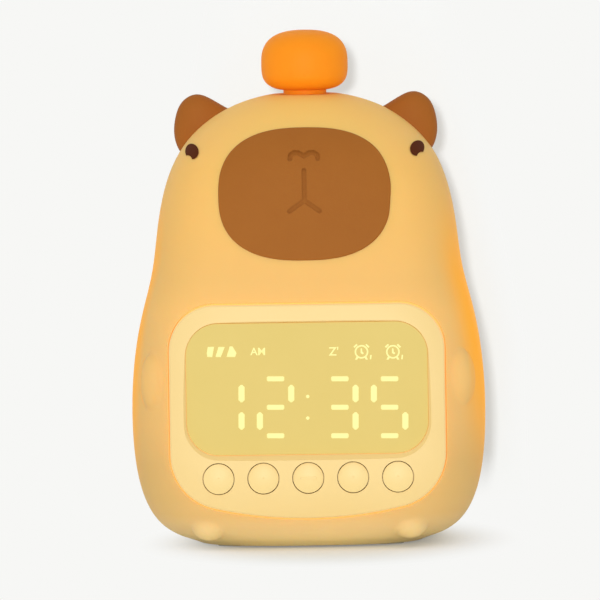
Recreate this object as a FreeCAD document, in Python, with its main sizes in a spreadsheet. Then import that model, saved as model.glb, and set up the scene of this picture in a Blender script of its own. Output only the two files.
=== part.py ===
"""Children's alarm clock with night light, shaped as a sitting capybara with an orange on its head.

Millimetres, +Z up, the face looks along -Y, +X is the viewer's right, the origin is on the table
under the middle of the clock.
"""
import FreeCAD, Part

import math
import os

import Sketcher

V = FreeCAD.Vector

# One row per level of the body, from the sole to the top of the head: its height, half width and
# depth to the front and back as shares of the whole body's, then how square its front and its back
# are (2 is an ellipse).
LEVELS = (
    ("sole", 0.0000, 0.6421, 0.6634, 0.6506, 2.8, 2.6),
    ("heel", 0.0167, 0.7495, 0.7740, 0.7614, 3.1, 2.7),
    ("rump", 0.0460, 0.8547, 0.8747, 0.8651, 3.7, 2.8),
    ("hip", 0.0962, 0.9305, 0.9509, 0.9446, 4.4, 2.9),
    ("thigh", 0.1715, 0.9789, 0.9902, 0.9855, 4.9, 3.0),
    ("belly", 0.2803, 1.0000, 1.0000, 1.0000, 5.0, 3.0),
    ("waist", 0.4059, 0.9853, 0.9902, 0.9880, 5.0, 3.0),
    ("chest", 0.5146, 0.9389, 0.9582, 0.9566, 4.7, 3.0),
    ("shoulder", 0.6067, 0.8821, 0.9115, 0.9060, 4.2, 3.0),
    ("neck", 0.6987, 0.8505, 0.8771, 0.8627, 3.8, 2.9),
    ("cheek", 0.7908, 0.8063, 0.8501, 0.8193, 3.4, 2.8),
    ("brow", 0.8577, 0.7411, 0.8034, 0.7566, 3.1, 2.7),
    ("crown", 0.9121, 0.6421, 0.7101, 0.6554, 2.8, 2.5),
    ("scalp", 0.9540, 0.5116, 0.5799, 0.5253, 2.5, 2.3),
    ("tuft", 0.9833, 0.3579, 0.4275, 0.3807, 2.2, 2.1),
    ("top", 1.0000, 0.1895, 0.2457, 0.2265, 2.0, 2.0),
)

SIZES = (
    ("body_width", 95.0, "across the belly"),
    ("body_front", 40.7, "middle to the front of the belly"),
    ("body_back", 41.5, "middle to the back"),
    ("body_top", 120.9, "top of the head above the table"),
    ("sole_up", 0.5, "underside of the skin above the table, the height of the foot pads"),
    ("skin_wall", 2.4, "silicone skin"),
    ("seat_gap", 0.3, "running gap beside a fixed neighbour"),
    ("fit_gap", 0.15, "gap of a piece dropped into its pocket"),
    # front panel
    ("panel_proud", 0.9, "panel front stands out of the skin"),
    ("panel_width", 73.8, "across the panel"),
    ("panel_top", 66.3, "height of the upper edge"),
    ("panel_bottom", 8.7, "height of the lowest point of the lower edge"),
    ("panel_top_radius", 12.5, "upper corners"),
    ("panel_low_radius", 15.0, "lower corners"),
    ("panel_sag_radius", 110.0, "bowed lower edge"),
    ("panel_edge_radius", 0.8, "rounded front edge"),
    ("panel_rim", 2.4, "wall round the tray"),
    ("panel_floor_in", 3.3, "belly front to the inner face of the panel"),
    ("panel_deep", 11.7, "belly front to the rear edge of the rim"),
    ("groove_gap", 0.3, "groove between panel and skin"),
    # display
    ("lens_width", 64.6, ""),
    ("lens_height", 35.3, ""),
    ("lens_radius", 8.6, ""),
    ("lens_up", 43.7, "height of the middle of the lens"),
    ("lens_in", 1.2, "belly front to the face of the lens"),
    ("lens_lip", 1.0, "lip behind the window"),
    ("lens_lip_thick", 1.2, ""),
    ("bevel_width", 1.0, "bevel round the window, for each bevel_depth of height"),
    ("bevel_depth", 1.5, ""),
    ("bevel_reach", 5.0, "from the lens to clear in front of the panel"),
    ("display_inset", 2.3, "lens edge to display edge, at the sides"),
    ("display_inset_high", 1.2, "lens edge to display edge, above and below"),
    ("display_gap", 0.2, "between lens and display"),
    ("digit_drop", 4.75, "middle of the lens down to the middle bars"),
    ("digit_row", 7.63, "between two rows of bars"),
    ("digit_half", 4.3, "middle of a digit to its upright bars"),
    ("digit_inner", 0.145, "middle of the clock to an inner digit, of the display's width"),
    ("digit_outer", 0.37, "middle of the clock to an outer digit, of the display's width"),
    ("bar_length", 5.0, ""),
    ("bar_width", 1.5, ""),
    ("colon_step", 0.38, "middle bars to a dot of the colon, of a row"),
    ("cell_depth", 3.2, ""),
    ("sign_rise", 10.45, "middle of the lens up to the row of small signs"),
    ("sign_cell", 4.4, "height of a sign's cell"),
    # main board and its switches
    ("board_in", 9.3, "belly front to the front face of the main board"),
    ("board_thick", 1.6, ""),
    ("board_edge", 3.0, "panel outline to board outline"),
    ("button_hole", 8.6, "hole in the panel"),
    ("button_web", 3.4, "panel between two holes"),
    ("button_drop", 1.95, "lower edge of the lens down to the holes"),
    ("button_gap", 0.25, "cap to hole, on the radius"),
    ("button_proud", 0.6, "top of the dome in front of the belly"),
    ("button_dome", 0.5, "rise of the dome"),
    ("button_travel", 0.6, ""),
    ("button_lip", 0.6, "flange behind the panel, beyond the hole"),
    ("button_flange_thick", 0.9, ""),
    ("button_stem", 3.2, ""),
    ("switch_side", 6.0, "square tactile switch"),
    ("switch_tall", 3.4, ""),
    ("switch_reach", 1.0, "plunger out of the switch at rest"),
    ("switch_plunger", 3.4, "diameter"),
    ("switch_play", 0.1, "plunger to bore, on the radius"),
    ("switch_tail", 1.0, "plunger inside the switch at rest"),
    ("board_boss", 4.4, "diameter"),
    ("board_boss_drop", 0.2, "lower edge of the button flanges down to the middle of a boss"),
    ("pilot_gap", 0.02, "screw thread to its pilot hole, on the radius"),
    ("screw_play", 0.2, "screw shank or head to a clearance hole, on the radius"),
    ("hook_reach", 1.4, "hook over the edge of the board"),
    ("board_hook_across", 15.0, "middle to a hook over the board's upper edge"),
    ("board_hook_wide", 5.0, ""),
    ("small_screw", 2.0, "shank of a board screw"),
    ("small_screw_head", 3.6, ""),
    ("small_screw_head_tall", 0.75, ""),
    ("small_screw_length", 5.5, ""),
    # face
    ("muzzle_width", 46.2, ""),
    ("muzzle_height", 35.2, ""),
    ("muzzle_drop", 25.5, "top of the head to the middle of the muzzle"),
    ("muzzle_square", 2.55, "superellipse power"),
    ("muzzle_proud", 0.5, ""),
    ("muzzle_edge", 0.45, "rounded edge of the muzzle"),
    ("mark_depth", 0.6, "nose and mouth lines"),
    ("mark_width", 1.3, ""),
    ("eye_in", 4.9, "side of the brow to the middle of an eye"),
    ("eye_drop", 14.25, "top of the head to the middle of an eye"),
    ("eye_radius", 1.9, ""),
    ("eye_bite", 1.2, "radius of the notch in the lower outer side"),
    ("eye_bite_out", 2.45, "middle of the eye to the middle of the notch"),
    ("eye_depth", 0.9, "inlaid under the skin surface"),
    ("eye_proud", 0.15, ""),
    ("ear_in", 8.5, "side of the brow to the middle of an ear"),
    ("ear_back", 3.5, ""),
    ("ear_drop", 9.9, "top of the head to the middle of an ear"),
    ("ear_half_width", 8.9, ""),
    ("ear_half_depth", 4.6, ""),
    ("ear_half_height", 10.0, ""),
    ("ear_square", 2.4, "superellipse power of an ear from front to back"),
    ("arm_in", 6.9, "side of the belly to the middle of an arm"),
    ("arm_sunk", 8.7, "front of the belly to the middle of an arm"),
    ("arm_up", 45.4, ""),
    ("arm_half_width", 4.4, ""),
    ("arm_half_depth", 5.0, ""),
    ("arm_half_height", 8.2, ""),
    ("arm_blend", 2.2, "fillet between an arm and the body"),
    ("foot_in", 13.7, "side of the rump to the middle of a foot"),
    ("foot_sunk", 5.0, "front of the rump to the middle of a foot"),
    ("foot_up", 6.3, ""),
    ("foot_half_width", 4.7, ""),
    ("foot_half_depth", 4.9, ""),
    ("foot_half_height", 3.8, ""),
    ("foot_blend", 1.2, "fillet between a foot and the body"),
    # orange, the snooze and night-light button
    ("orange_width", 23.4, ""),
    ("orange_upper", 8.9, "widest line up to the top"),
    ("orange_lower", 7.5, "widest line down to the underside"),
    ("orange_upper_square", 2.6, "superellipse power of the upper half"),
    ("orange_lower_square", 3.4, "superellipse power of the lower half"),
    ("orange_neck", 11.6, "diameter"),
    ("orange_hole_gap", 0.5, "neck to the hole in the skin, on the radius"),
    ("orange_travel", 0.6, ""),
    ("stem_width", 5.0, ""),
    ("stem_grip", 7.0, "stem inside the ball, above the skin"),
    ("stem_below", 6.8, "top of the head down to the stem's end"),
    ("stem_flange", 17.0, "keeps the button under the skin"),
    ("stem_flange_thick", 1.0, ""),
    # core
    ("core_width", 60.0, ""),
    ("core_deep", 13.5, "back of the body to the core"),
    ("core_top", 68.0, ""),
    ("core_low", 5.4, "lower edge of the walls"),
    ("core_radius", 14.0, ""),
    ("core_wall", 1.8, ""),
    ("flange_thick", 2.0, ""),
    ("flange_inset", 1.3, "panel outline to flange outline"),
    ("window_inset", 10.2, "panel outline to the core's front opening"),
    ("wire_hole", 5.0, "hole in the core's top for the lamp's wires"),
    ("post_width", 14.0, ""),
    ("post_wall", 1.6, ""),
    ("light_board_width", 54.0, ""),
    ("light_board_thick", 1.6, ""),
    ("lamp_width", 60.0, "diffuser"),
    ("lamp_wall", 1.4, ""),
    ("lamp_slope", 21.0, "height of the tapered part"),
    ("lamp_below", 1.0, "top of the post down to the top of the lamp"),
    ("lamp_top_width", 34.0, ""),
    ("led_side", 5.0, ""),
    ("led_tall", 1.6, ""),
    ("led_ring", 20.0, "radius of the ring of diodes"),
    ("led_count", 12.0, ""),
    ("snooze_side", 6.0, ""),
    ("snooze_tall", 4.0, ""),
    # base
    ("pad_width", 8.0, ""),
    ("pad_across", 21.0, ""),
    ("pad_along", 15.5, ""),
    ("cover_width", 56.8, ""),
    ("cover_depth", 49.0, ""),
    ("cover_radius", 21.0, ""),
    ("cover_flange", 1.0, ""),
    ("cover_plug_inset", 2.5, ""),
    ("cover_plug_top", 3.3, ""),
    ("base_screw", 2.6, "shank"),
    ("base_screw_head", 4.6, ""),
    ("base_screw_head_tall", 1.6, ""),
    ("base_screw_length", 8.0, ""),
    ("base_screw_across", 18.5, ""),
    ("base_screw_along", 8.0, ""),
    ("base_boss", 6.4, ""),
    ("base_boss_tall", 9.0, ""),
    ("grille_hole", 1.7, ""),
    ("grille_pitch", 3.4, "ring to ring"),
    ("grille_rings", 2.0, ""),
    # speaker
    ("speaker_width", 27.0, ""),
    ("speaker_tall", 3.4, ""),
    ("speaker_rim", 2.0, ""),
    ("speaker_plate", 1.0, "sheet of the frame"),
    ("speaker_neck", 1.2, "frame beyond the magnet"),
    ("magnet_width", 15.0, ""),
    ("magnet_tall", 4.2, ""),
    ("cone_thick", 0.6, ""),
    ("cone_lift", 0.3, "cone above the cover"),
    ("cone_rise", 1.4, "height of the crease"),
    ("cone_crease", 8.0, "diameter of the crease round the middle"),
    ("cone_middle", 0.8, "height of the middle"),
    # battery
    ("battery_width", 32.0, ""),
    ("battery_thick", 8.0, ""),
    ("battery_height", 46.0, ""),
    ("battery_up", 20.0, ""),
    ("battery_radius", 2.0, ""),
    # power inlet at the back
    ("port_up", 14.5, ""),
    ("port_width", 18.0, ""),
    ("port_height", 9.0, ""),
    ("port_radius", 4.4, ""),
    ("port_in", 1.9, "back of the body to the outer face"),
    ("port_floor", 2.0, "outer wall of the plug"),
    ("port_wall", 1.2, ""),
    ("socket_width", 8.94, ""),
    ("socket_height", 3.26, ""),
    ("socket_radius", 1.6, ""),
    ("socket_depth", 7.4, ""),
    ("socket_wall", 0.3, ""),
    ("socket_tongue", 0.7, ""),
    ("socket_sunk", 0.2, "outer face of the plug to the mouth of the socket"),
    ("socket_floor", 1.2, "rear wall of the socket"),
    ("tongue_sunk", 0.8, "mouth of the socket to its tongue"),
    ("tongue_side", 1.1, "side of the socket to its tongue"),
    ("usb_board_width", 11.0, ""),
    ("usb_board_depth", 16.0, ""),
    ("usb_board_thick", 1.2, ""),
)


class Size:
    """A number together with the sheet formula that gives it."""

    def __init__(self, number, formula):
        self.number = float(number)
        self.formula = formula

    @staticmethod
    def of(value):
        return value if isinstance(value, Size) else Size(value, repr(float(value)))

    def join(self, other, sign, number):
        other = Size.of(other)
        return Size(number(self.number, other.number), f"({self.formula} {sign} {other.formula})")

    def __add__(self, other):
        return self.join(other, "+", lambda a, b: a + b)

    def __sub__(self, other):
        return self.join(other, "-", lambda a, b: a - b)

    def __mul__(self, other):
        return self.join(other, "*", lambda a, b: a * b)

    def __truediv__(self, other):
        return self.join(other, "/", lambda a, b: a / b)

    def __neg__(self):
        return Size(-self.number, f"(0 - {self.formula})")

    def __float__(self):
        return self.number


class Sheet:
    """The driving dimensions: a spreadsheet whose cells are read as attributes."""

    def __init__(self, doc):
        self.cells = doc.addObject("Spreadsheet::Sheet", "Sizes")
        self.row = 0

    def write(self, alias, number, note):
        self.row += 1
        self.cells.set(f"A{self.row}", alias)
        self.cells.set(f"B{self.row}", str(number))
        self.cells.set(f"C{self.row}", note)
        self.cells.setAlias(f"B{self.row}", alias)

    def __getattr__(self, alias):
        return Size(self.cells.get(alias), f"Sizes.{alias}")


doc = FreeCAD.newDocument("AlarmClock")
S = Sheet(doc)
for level, *numbers in LEVELS:
    for word, number in zip(("rise", "wide", "front", "back", "front_square", "back_square"), numbers):
        S.write(f"{level}_{word}", number, f"body level {level}")
for alias, number, note in SIZES:
    S.write(alias, number, note)
doc.recompute()

# Places that follow from the sizes.
body_half = S.body_width / 2
brow_half = body_half * S.brow_wide
panel_floor = S.body_front - S.panel_floor_in
panel_back = S.body_front - S.panel_deep
lens_front = S.body_front - S.lens_in
board_front = S.body_front - S.board_in
board_back = board_front - S.board_thick
button_pitch = S.button_hole + S.button_web
button_up = S.lens_up - S.lens_height / 2 - S.button_drop - S.button_hole / 2
button_front = S.body_front + S.button_proud
button_flange = S.button_hole + S.button_lip * 2
board_boss_across = button_pitch * 1.5
board_boss_up = button_up - button_flange / 2 - S.board_boss_drop
display_width = S.lens_width - S.display_inset * 2
display_height = S.lens_height - S.display_inset_high * 2
display_front = panel_floor - S.lens_lip_thick - S.display_gap
digit_up = S.lens_up - S.digit_drop
muzzle_up = S.body_top - S.muzzle_drop
eye_across = brow_half - S.eye_in
eye_up = S.body_top - S.eye_drop
ear_across = brow_half - S.ear_in
ear_up = S.body_top - S.ear_drop
limb_places = {
    "arm": (body_half - S.arm_in, S.body_front - S.arm_sunk),
    "foot": (body_half * S.rump_wide - S.foot_in, S.body_front * S.rump_front - S.foot_sunk),
}
under_skin = S.body_top - S.skin_wall - S.seat_gap
flange_top = under_skin - S.seat_gap
orange_low = S.body_top + S.orange_travel + S.seat_gap
orange_middle = orange_low + S.orange_lower
stem_top = S.body_top + S.stem_grip
stem_low = S.body_top - S.stem_below
post_top = stem_low - S.switch_reach - S.snooze_tall
lamp_top = post_top - S.lamp_below
lamp_shoulder = lamp_top - S.lamp_slope
core_back = S.body_back - S.core_deep
port_back = S.body_back - S.port_in
plug_front = core_back - S.core_wall

parts = {}


def keep(node, piece):
    """Give a finished piece its name and list it for export."""
    piece.Label = node
    parts[node] = piece
    return piece


def keep_shape(node, shape):
    """List a shape that was made in code, such as one cut from the body's form."""
    piece = doc.addObject("Part::Feature", node)
    piece.Shape = shape
    return keep(node, piece)


def bind(item, **sizes):
    """Tie properties to the sheet; two underscores stand for the dot of a nested property."""
    for name, size in sizes.items():
        item.setExpression(name.replace("__", "."), Size.of(size).formula)


def locate(item, x=0, y=0, z=0):
    bind(item, Placement__Base__x=x, Placement__Base__y=y, Placement__Base__z=z)
    return item


# Pieces made from drawn outlines, which are padded, pocketed, turned or rounded.


def new_body(node):
    return keep(node, doc.addObject("PartDesign::Body", node))


def sketch_on(body, role, out=0):
    """A sketch on one of the body's origin planes, moved along that plane's normal by out."""
    plane = next(item for item in body.Origin.OriginFeatures if item.Role == role)
    sketch = body.newObject("Sketcher::SketchObject", f"{body.Name}_sketch")
    sketch.AttachmentSupport = (plane, [""])
    sketch.MapMode = "FlatFace"
    bind(sketch, AttachmentOffset__Base__z=out)
    return sketch


def pin_point(sketch, item, point, u, v):
    """Fix one point of an edge at (u, v) from the sketch's origin."""
    for kind, size in (("DistanceX", Size.of(u)), ("DistanceY", Size.of(v))):
        index = sketch.addConstraint(Sketcher.Constraint(kind, -1, 1, item, point, size.number))
        sketch.setExpression(f"Constraints[{index}]", size.formula)


def circle(sketch, width, u=0, v=0):
    radius = Size.of(width) / 2
    centre = V(float(Size.of(u)), float(Size.of(v)), 0)
    item = sketch.addGeometry(Part.Circle(centre, V(0, 0, 1), radius.number), False)
    pin_point(sketch, item, 3, u, v)
    index = sketch.addConstraint(Sketcher.Constraint("Radius", item, radius.number))
    sketch.setExpression(f"Constraints[{index}]", radius.formula)


def polygon(sketch, corners):
    """Straight edges through corners, each corner fixed by its own sizes."""
    points = [V(float(Size.of(u)), float(Size.of(v)), 0) for u, v in corners]
    ends = points[1:] + points[:1]
    items = [sketch.addGeometry(Part.LineSegment(a, b), False) for a, b in zip(points, ends)]
    for item, following in zip(items, items[1:] + items[:1]):
        sketch.addConstraint(Sketcher.Constraint("Coincident", item, 2, following, 1))
    for item, (u, v) in zip(items, corners):
        pin_point(sketch, item, 1, u, v)


def rectangle(sketch, wide, tall, u=0, v=0):
    wide, tall, u, v = (Size.of(size) for size in (wide, tall, u, v))
    left, right = u - wide / 2, u + wide / 2
    low, high = v - tall / 2, v + tall / 2
    polygon(sketch, [(left, low), (right, low), (right, high), (left, high)])


def pad(body, sketch, length, reverse=False):
    feature = body.newObject("PartDesign::Pad", f"{body.Name}_pad")
    feature.Profile = sketch
    feature.Reversed = reverse
    bind(feature, Length=length)
    doc.recompute()
    return feature


def pocket(body, sketch, length, reverse=False):
    feature = body.newObject("PartDesign::Pocket", f"{body.Name}_pocket")
    feature.Profile = sketch
    feature.Reversed = reverse
    bind(feature, Length=length)
    before = body.Shape.Volume
    doc.recompute()
    if body.Shape.Volume >= before:
        raise RuntimeError(f"a pocket of {body.Label} removes nothing")
    return feature


def revolve(body, corners, role="XZ_Plane"):
    """Turn a closed outline of straight edges round the sketch's upright axis."""
    sketch = sketch_on(body, role)
    polygon(sketch, corners)
    feature = body.newObject("PartDesign::Revolution", f"{body.Name}_turned")
    feature.Profile = sketch
    feature.ReferenceAxis = (sketch, ["V_Axis"])
    feature.Angle = 360
    doc.recompute()
    return feature


def round_edges(body, radius, wanted):
    """Fillet the edges of the body's tip that the test accepts."""
    base = body.Tip
    names = [f"Edge{i}" for i, edge in enumerate(base.Shape.Edges, 1) if wanted(edge)]
    feature = body.newObject("PartDesign::Fillet", f"{body.Name}_round")
    feature.Base = (base, names)
    bind(feature, Radius=radius)
    doc.recompute()
    return feature


def runs_along(axis):
    """A test for straight edges along an axis."""
    def test(edge):
        if edge.Curve.TypeId != "Part::GeomLine":
            return False
        return abs(edge.tangentAt(edge.FirstParameter).dot(axis)) > 0.99
    return test


# Pieces put together from boxes and cylinders.


def box(name, wide, deep, tall, x=0, y=0, z=0):
    """A box centred on x, from y backwards and from z upwards."""
    item = doc.addObject("Part::Box", name)
    bind(item, Length=wide, Width=deep, Height=tall)
    return locate(item, Size.of(x) - Size.of(wide) / 2, y, z)


def cylinder(name, width, tall, x=0, y=0, z=0, along_y=False):
    """A cylinder upwards from z, or backwards from y."""
    item = doc.addObject("Part::Cylinder", name)
    bind(item, Radius=Size.of(width) / 2, Height=tall)
    if along_y:
        item.Placement = FreeCAD.Placement(V(0, 0, 0), FreeCAD.Rotation(V(1, 0, 0), -90))
    return locate(item, x, y, z)


def cut(name, base, tool):
    item = doc.addObject("Part::Cut", name)
    item.Base = base
    item.Tool = tool
    return item


def compound(name, items):
    item = doc.addObject("Part::Compound", name)
    item.Links = items
    return item


def ellipsoid(half_width, half_depth, half_height, centre):
    """A scaled ball, as a shape."""
    matrix = FreeCAD.Matrix()
    matrix.scale(float(half_width), float(half_depth), float(half_height))
    ball = Part.makeSphere(1.0).transformGeometry(matrix)
    ball.translate(centre)
    return ball


# The body's form, which the skin, the panel and the face are cut from.

SECTION_POINTS = 24
BALL_POINTS = 16
RULED_LEVELS = ("sole", "heel", "hip", "belly", "waist", "shoulder", "cheek", "brow", "scalp", "top")


def section(up, wide, front, back, front_square, back_square):
    """A closed curve round one level: squarer in front, rounder behind."""
    points = []
    for step in range(SECTION_POINTS):
        angle = 2 * math.pi * step / SECTION_POINTS
        across, along = math.cos(angle), math.sin(angle)
        power, depth = (back_square, back) if along > 0 else (front_square, front)
        reach = (abs(across / wide) ** power + abs(along / depth) ** power) ** (-1 / power)
        points.append(V(reach * across, reach * along, up))
    curve = Part.BSplineCurve()
    curve.interpolate(points, PeriodicFlag=True)
    return Part.Wire([curve.toShape()])


def form(inset, names=None, ruled=False):
    """The body's solid form, drawn in on every side by inset."""
    names = names or [level for level, *_ in LEVELS]
    low, high = float(S.sole_up) + inset, float(S.body_top) - inset
    half, body_front, body_back = float(body_half), float(S.body_front), float(S.body_back)
    wires = []
    for name in names:
        rise, wide, front, back, front_square, back_square = (
            float(getattr(S, f"{name}_{word}"))
            for word in ("rise", "wide", "front", "back", "front_square", "back_square"))
        wires.append(section(low + (high - low) * rise, half * wide - inset, body_front * front - inset,
                             body_back * back - inset, front_square, back_square))
    return Part.makeLoft(wires, True, ruled)


def panel_outline(inset):
    """The panel's outline, drawn in by inset: straight top and sides, bowed lower edge."""
    half = float(S.panel_width) / 2 - inset
    top = float(S.panel_top) - inset
    bottom = float(S.panel_bottom) + inset
    top_radius = float(S.panel_top_radius) - inset
    low_radius = float(S.panel_low_radius) - inset
    sag_radius = float(S.panel_sag_radius) - inset
    sag_up = bottom + sag_radius
    corner_up = sag_up - math.sqrt((sag_radius - low_radius) ** 2 - (half - low_radius) ** 2)
    lean = math.atan2(half - low_radius, sag_up - corner_up)
    foot_x, foot_z = sag_radius * math.sin(lean), sag_up - sag_radius * math.cos(lean)
    middle = (math.pi / 2 + lean) / 2
    diagonal = top_radius * math.sqrt(0.5)
    edges = [
        Part.LineSegment(V(-half + top_radius, 0, top), V(half - top_radius, 0, top)),
        Part.Arc(V(half - top_radius, 0, top),
                 V(half - top_radius + diagonal, 0, top - top_radius + diagonal),
                 V(half, 0, top - top_radius)),
        Part.LineSegment(V(half, 0, top - top_radius), V(half, 0, corner_up)),
        Part.Arc(V(half, 0, corner_up),
                 V(half - low_radius + low_radius * math.sin(middle), 0,
                   corner_up - low_radius * math.cos(middle)),
                 V(foot_x, 0, foot_z)),
        Part.Arc(V(foot_x, 0, foot_z), V(0, 0, bottom), V(-foot_x, 0, foot_z)),
        Part.Arc(V(-foot_x, 0, foot_z),
                 V(-half + low_radius - low_radius * math.sin(middle), 0,
                   corner_up - low_radius * math.cos(middle)),
                 V(-half, 0, corner_up)),
        Part.LineSegment(V(-half, 0, corner_up), V(-half, 0, top - top_radius)),
        Part.Arc(V(-half, 0, top - top_radius),
                 V(-half + top_radius - diagonal, 0, top - top_radius + diagonal),
                 V(-half + top_radius, 0, top)),
    ]
    return Part.Wire([edge.toShape() for edge in edges])


def rounded_outline(width, height, radius, up, out=0.0):
    """An upright rounded rectangle grown by out on every side."""
    half, tall, radius = width / 2 + out, height / 2 + out, radius + out
    diagonal = radius * (1 - math.sqrt(0.5))
    edges = []
    for right, high in ((1, 1), (1, -1), (-1, -1), (-1, 1)):
        side = [V(right * half, 0, up + high * (tall - radius)),
                V(right * (half - diagonal), 0, up + high * (tall - diagonal)),
                V(right * (half - radius), 0, up + high * tall)]
        if right * high > 0:
            side.reverse()
        edges.append(Part.Arc(*side))
    starts = [edge.StartPoint for edge in edges]
    ends = [edge.EndPoint for edge in edges]
    lines = [Part.LineSegment(end, start) for end, start in zip(ends, starts[1:] + starts[:1])]
    loop = [curve.toShape() for pair in zip(edges, lines) for curve in pair]
    return Part.Wire(loop)


def prism(wire, front, back):
    """An upright outline as a solid between two depths, counted forwards from the origin."""
    face = Part.Face(wire)
    face.translate(V(0, -float(front), 0))
    return face.extrude(V(0, float(front) - float(back), 0))


FAR = 70.0
button_places = [(step, button_pitch * step) for step in (-2, -1, 0, 1, 2)]
skin_form = form(0.0)
proud_form = form(-float(S.panel_proud))
muzzle_form = form(-float(S.muzzle_proud))
inner_form = form(float(S.skin_wall), RULED_LEVELS, ruled=True)
room_form = form(float(S.skin_wall + S.fit_gap), RULED_LEVELS, ruled=True)
CORNERS = tuple((across, along) for across in (-1, 1) for along in (-1, 1))


def muzzle_outline(grow=0.0):
    """A squared oval, as a periodic curve through points of its formula."""
    half_wide = float(S.muzzle_width) / 2 + grow
    half_tall = float(S.muzzle_height) / 2 + grow
    power = float(S.muzzle_square)
    points = []
    for step in range(SECTION_POINTS):
        angle = 2 * math.pi * step / SECTION_POINTS
        across, rise = math.cos(angle), math.sin(angle)
        reach = (abs(across / half_wide) ** power + abs(rise / half_tall) ** power) ** (-1 / power)
        points.append(V(reach * across, 0, float(muzzle_up) + reach * rise))
    curve = Part.BSplineCurve()
    curve.interpolate(points, PeriodicFlag=True)
    return Part.Wire([curve.toShape()])


def stroke(start, end, width, front, back):
    """A straight line of a given width with round ends, as a prism; ends are (across, up)."""
    (x0, z0), (x1, z1) = start, end
    length = math.hypot(x1 - x0, z1 - z0)
    side_x, side_z = -(z1 - z0) / length * width / 2, (x1 - x0) / length * width / 2
    tip_x, tip_z = (x1 - x0) / length * width / 2, (z1 - z0) / length * width / 2
    corners = [V(x0 + side_x, 0, z0 + side_z), V(x1 + side_x, 0, z1 + side_z),
               V(x1 - side_x, 0, z1 - side_z), V(x0 - side_x, 0, z0 - side_z)]
    wire = Part.Wire([
        Part.LineSegment(corners[0], corners[1]).toShape(),
        Part.Arc(corners[1], V(x1 + tip_x, 0, z1 + tip_z), corners[2]).toShape(),
        Part.LineSegment(corners[2], corners[3]).toShape(),
        Part.Arc(corners[3], V(x0 - tip_x, 0, z0 - tip_z), corners[0]).toShape(),
    ])
    return prism(wire, front, back)


def eye_plug():
    """The right eye as a plug that points forward: round, with a bite out of its lower outer side."""
    start = V(float(eye_across), 0, float(eye_up))
    low_outer = V(1, 0, -2)
    low_outer.normalize()
    disc = Part.makeCylinder(float(S.eye_radius), FAR, start, V(0, -1, 0))
    bite_start = start + low_outer * float(S.eye_bite_out)
    return disc.cut(Part.makeCylinder(float(S.eye_bite), FAR, bite_start, V(0, -1, 0)))


def mirrored(shape):
    return shape.mirror(V(0, 0, 0), V(1, 0, 0))


# Face: eyes and muzzle inlaid in the skin, ears seated on it.

eye_pocket = eye_plug().cut(form(float(S.eye_depth)))
eye = eye_pocket.common(form(-float(S.eye_proud))).Solids[0]
keep_shape("eye_right", eye)
keep_shape("eye_left", mirrored(eye))

muzzle_prism = prism(muzzle_outline(), FAR, 0)
muzzle = muzzle_form.common(muzzle_prism).cut(inner_form).Solids[0]
muzzle_rim = max(muzzle.Edges, key=lambda edge: edge.Length)
muzzle = muzzle.makeFillet(float(S.muzzle_edge), [muzzle_rim])
mark_floor = form(float(S.mark_depth) - float(S.muzzle_proud))
# Corners of the nose and mouth lines on the right half: across, and up from the muzzle's middle.
NOSE = ((3.75, 9.5), (3.55, 10.5), (2.6, 11.1), (1.4, 11.0), (0.0, 10.2))
MOUTH = ((0.0, 6.4), (0.0, -1.6), (4.0, -4.4))


def mark_lines():
    """Each straight stretch of the nose and mouth, on both sides of the middle."""
    for corners in (NOSE, MOUTH):
        for (x0, z0), (x1, z1) in zip(corners, corners[1:]):
            for side in (1, -1) if x0 or x1 else (1,):
                yield (side * x0, float(muzzle_up) + z0), (side * x1, float(muzzle_up) + z1)


strokes = [stroke(start, end, float(S.mark_width), FAR, 0) for start, end in mark_lines()]
marks = strokes[0].multiFuse(strokes[1:]).cut(mark_floor)
keep_shape("muzzle", muzzle.cut(marks).Solids[0])

# Outline of the right ear, across and up from its middle, as shares of its half width and height.
EAR_OUTLINE = ((-0.66, 0.60), (-0.16, 0.86), (0.34, 1.0), (0.74, 0.81), (0.96, 0.38), (0.98, -0.22),
               (0.72, -0.66), (-0.08, -0.84), (-0.80, -0.42), (-0.98, 0.14))


EAR_SLICES = (-85, -70, -50, -25, 0, 25, 50, 70, 85)


def build_ear():
    """The right ear: its outline swells from front to back like a pillow, seated on the head."""
    half_width, half_depth, half_height = (
        float(size) for size in (S.ear_half_width, S.ear_half_depth, S.ear_half_height))
    power = float(S.ear_square)
    slices = []
    for angle in EAR_SLICES:
        depth = math.sin(math.radians(angle))
        swell = (1 - abs(depth) ** power) ** (1 / power)
        points = [V(float(ear_across) + across * half_width * swell, float(S.ear_back) + depth * half_depth,
                    float(ear_up) + rise * half_height * swell) for across, rise in EAR_OUTLINE]
        curve = Part.BSplineCurve()
        curve.interpolate(points, PeriodicFlag=True)
        slices.append(Part.Wire([curve.toShape()]))
    return Part.makeLoft(slices, True, False).cut(skin_form).Solids[0]


ear = build_ear()
keep_shape("ear_right", ear)
keep_shape("ear_left", mirrored(ear))


def orange_outline():
    """Half the ball's outline: squarer below its widest line than above it."""
    half, middle = float(S.orange_width) / 2, float(orange_middle)
    points = []
    for step in range(BALL_POINTS + 1):
        angle = math.pi * step / BALL_POINTS
        across, rise = math.sin(angle), math.cos(angle)
        if rise > 0:
            tall, power = float(S.orange_upper), float(S.orange_upper_square)
        else:
            tall, power = float(S.orange_lower), float(S.orange_lower_square)
        reach = (abs(across / half) ** power + abs(rise / tall) ** power) ** (-1 / power)
        points.append(V(reach * across if 0 < step < BALL_POINTS else 0.0, 0, middle + reach * rise))
    curve = Part.BSplineCurve()
    curve.interpolate(points, InitialTangent=V(1, 0, 0), FinalTangent=V(-1, 0, 0))
    axis = Part.LineSegment(points[-1], points[0])
    return Part.Wire([curve.toShape(), axis.toShape()])


# How far round a limb its seam is looked for, and the shortest edge that counts as seam.
SEAM_REACH = 0.5
SEAM_SHORTEST = 1.0


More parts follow.
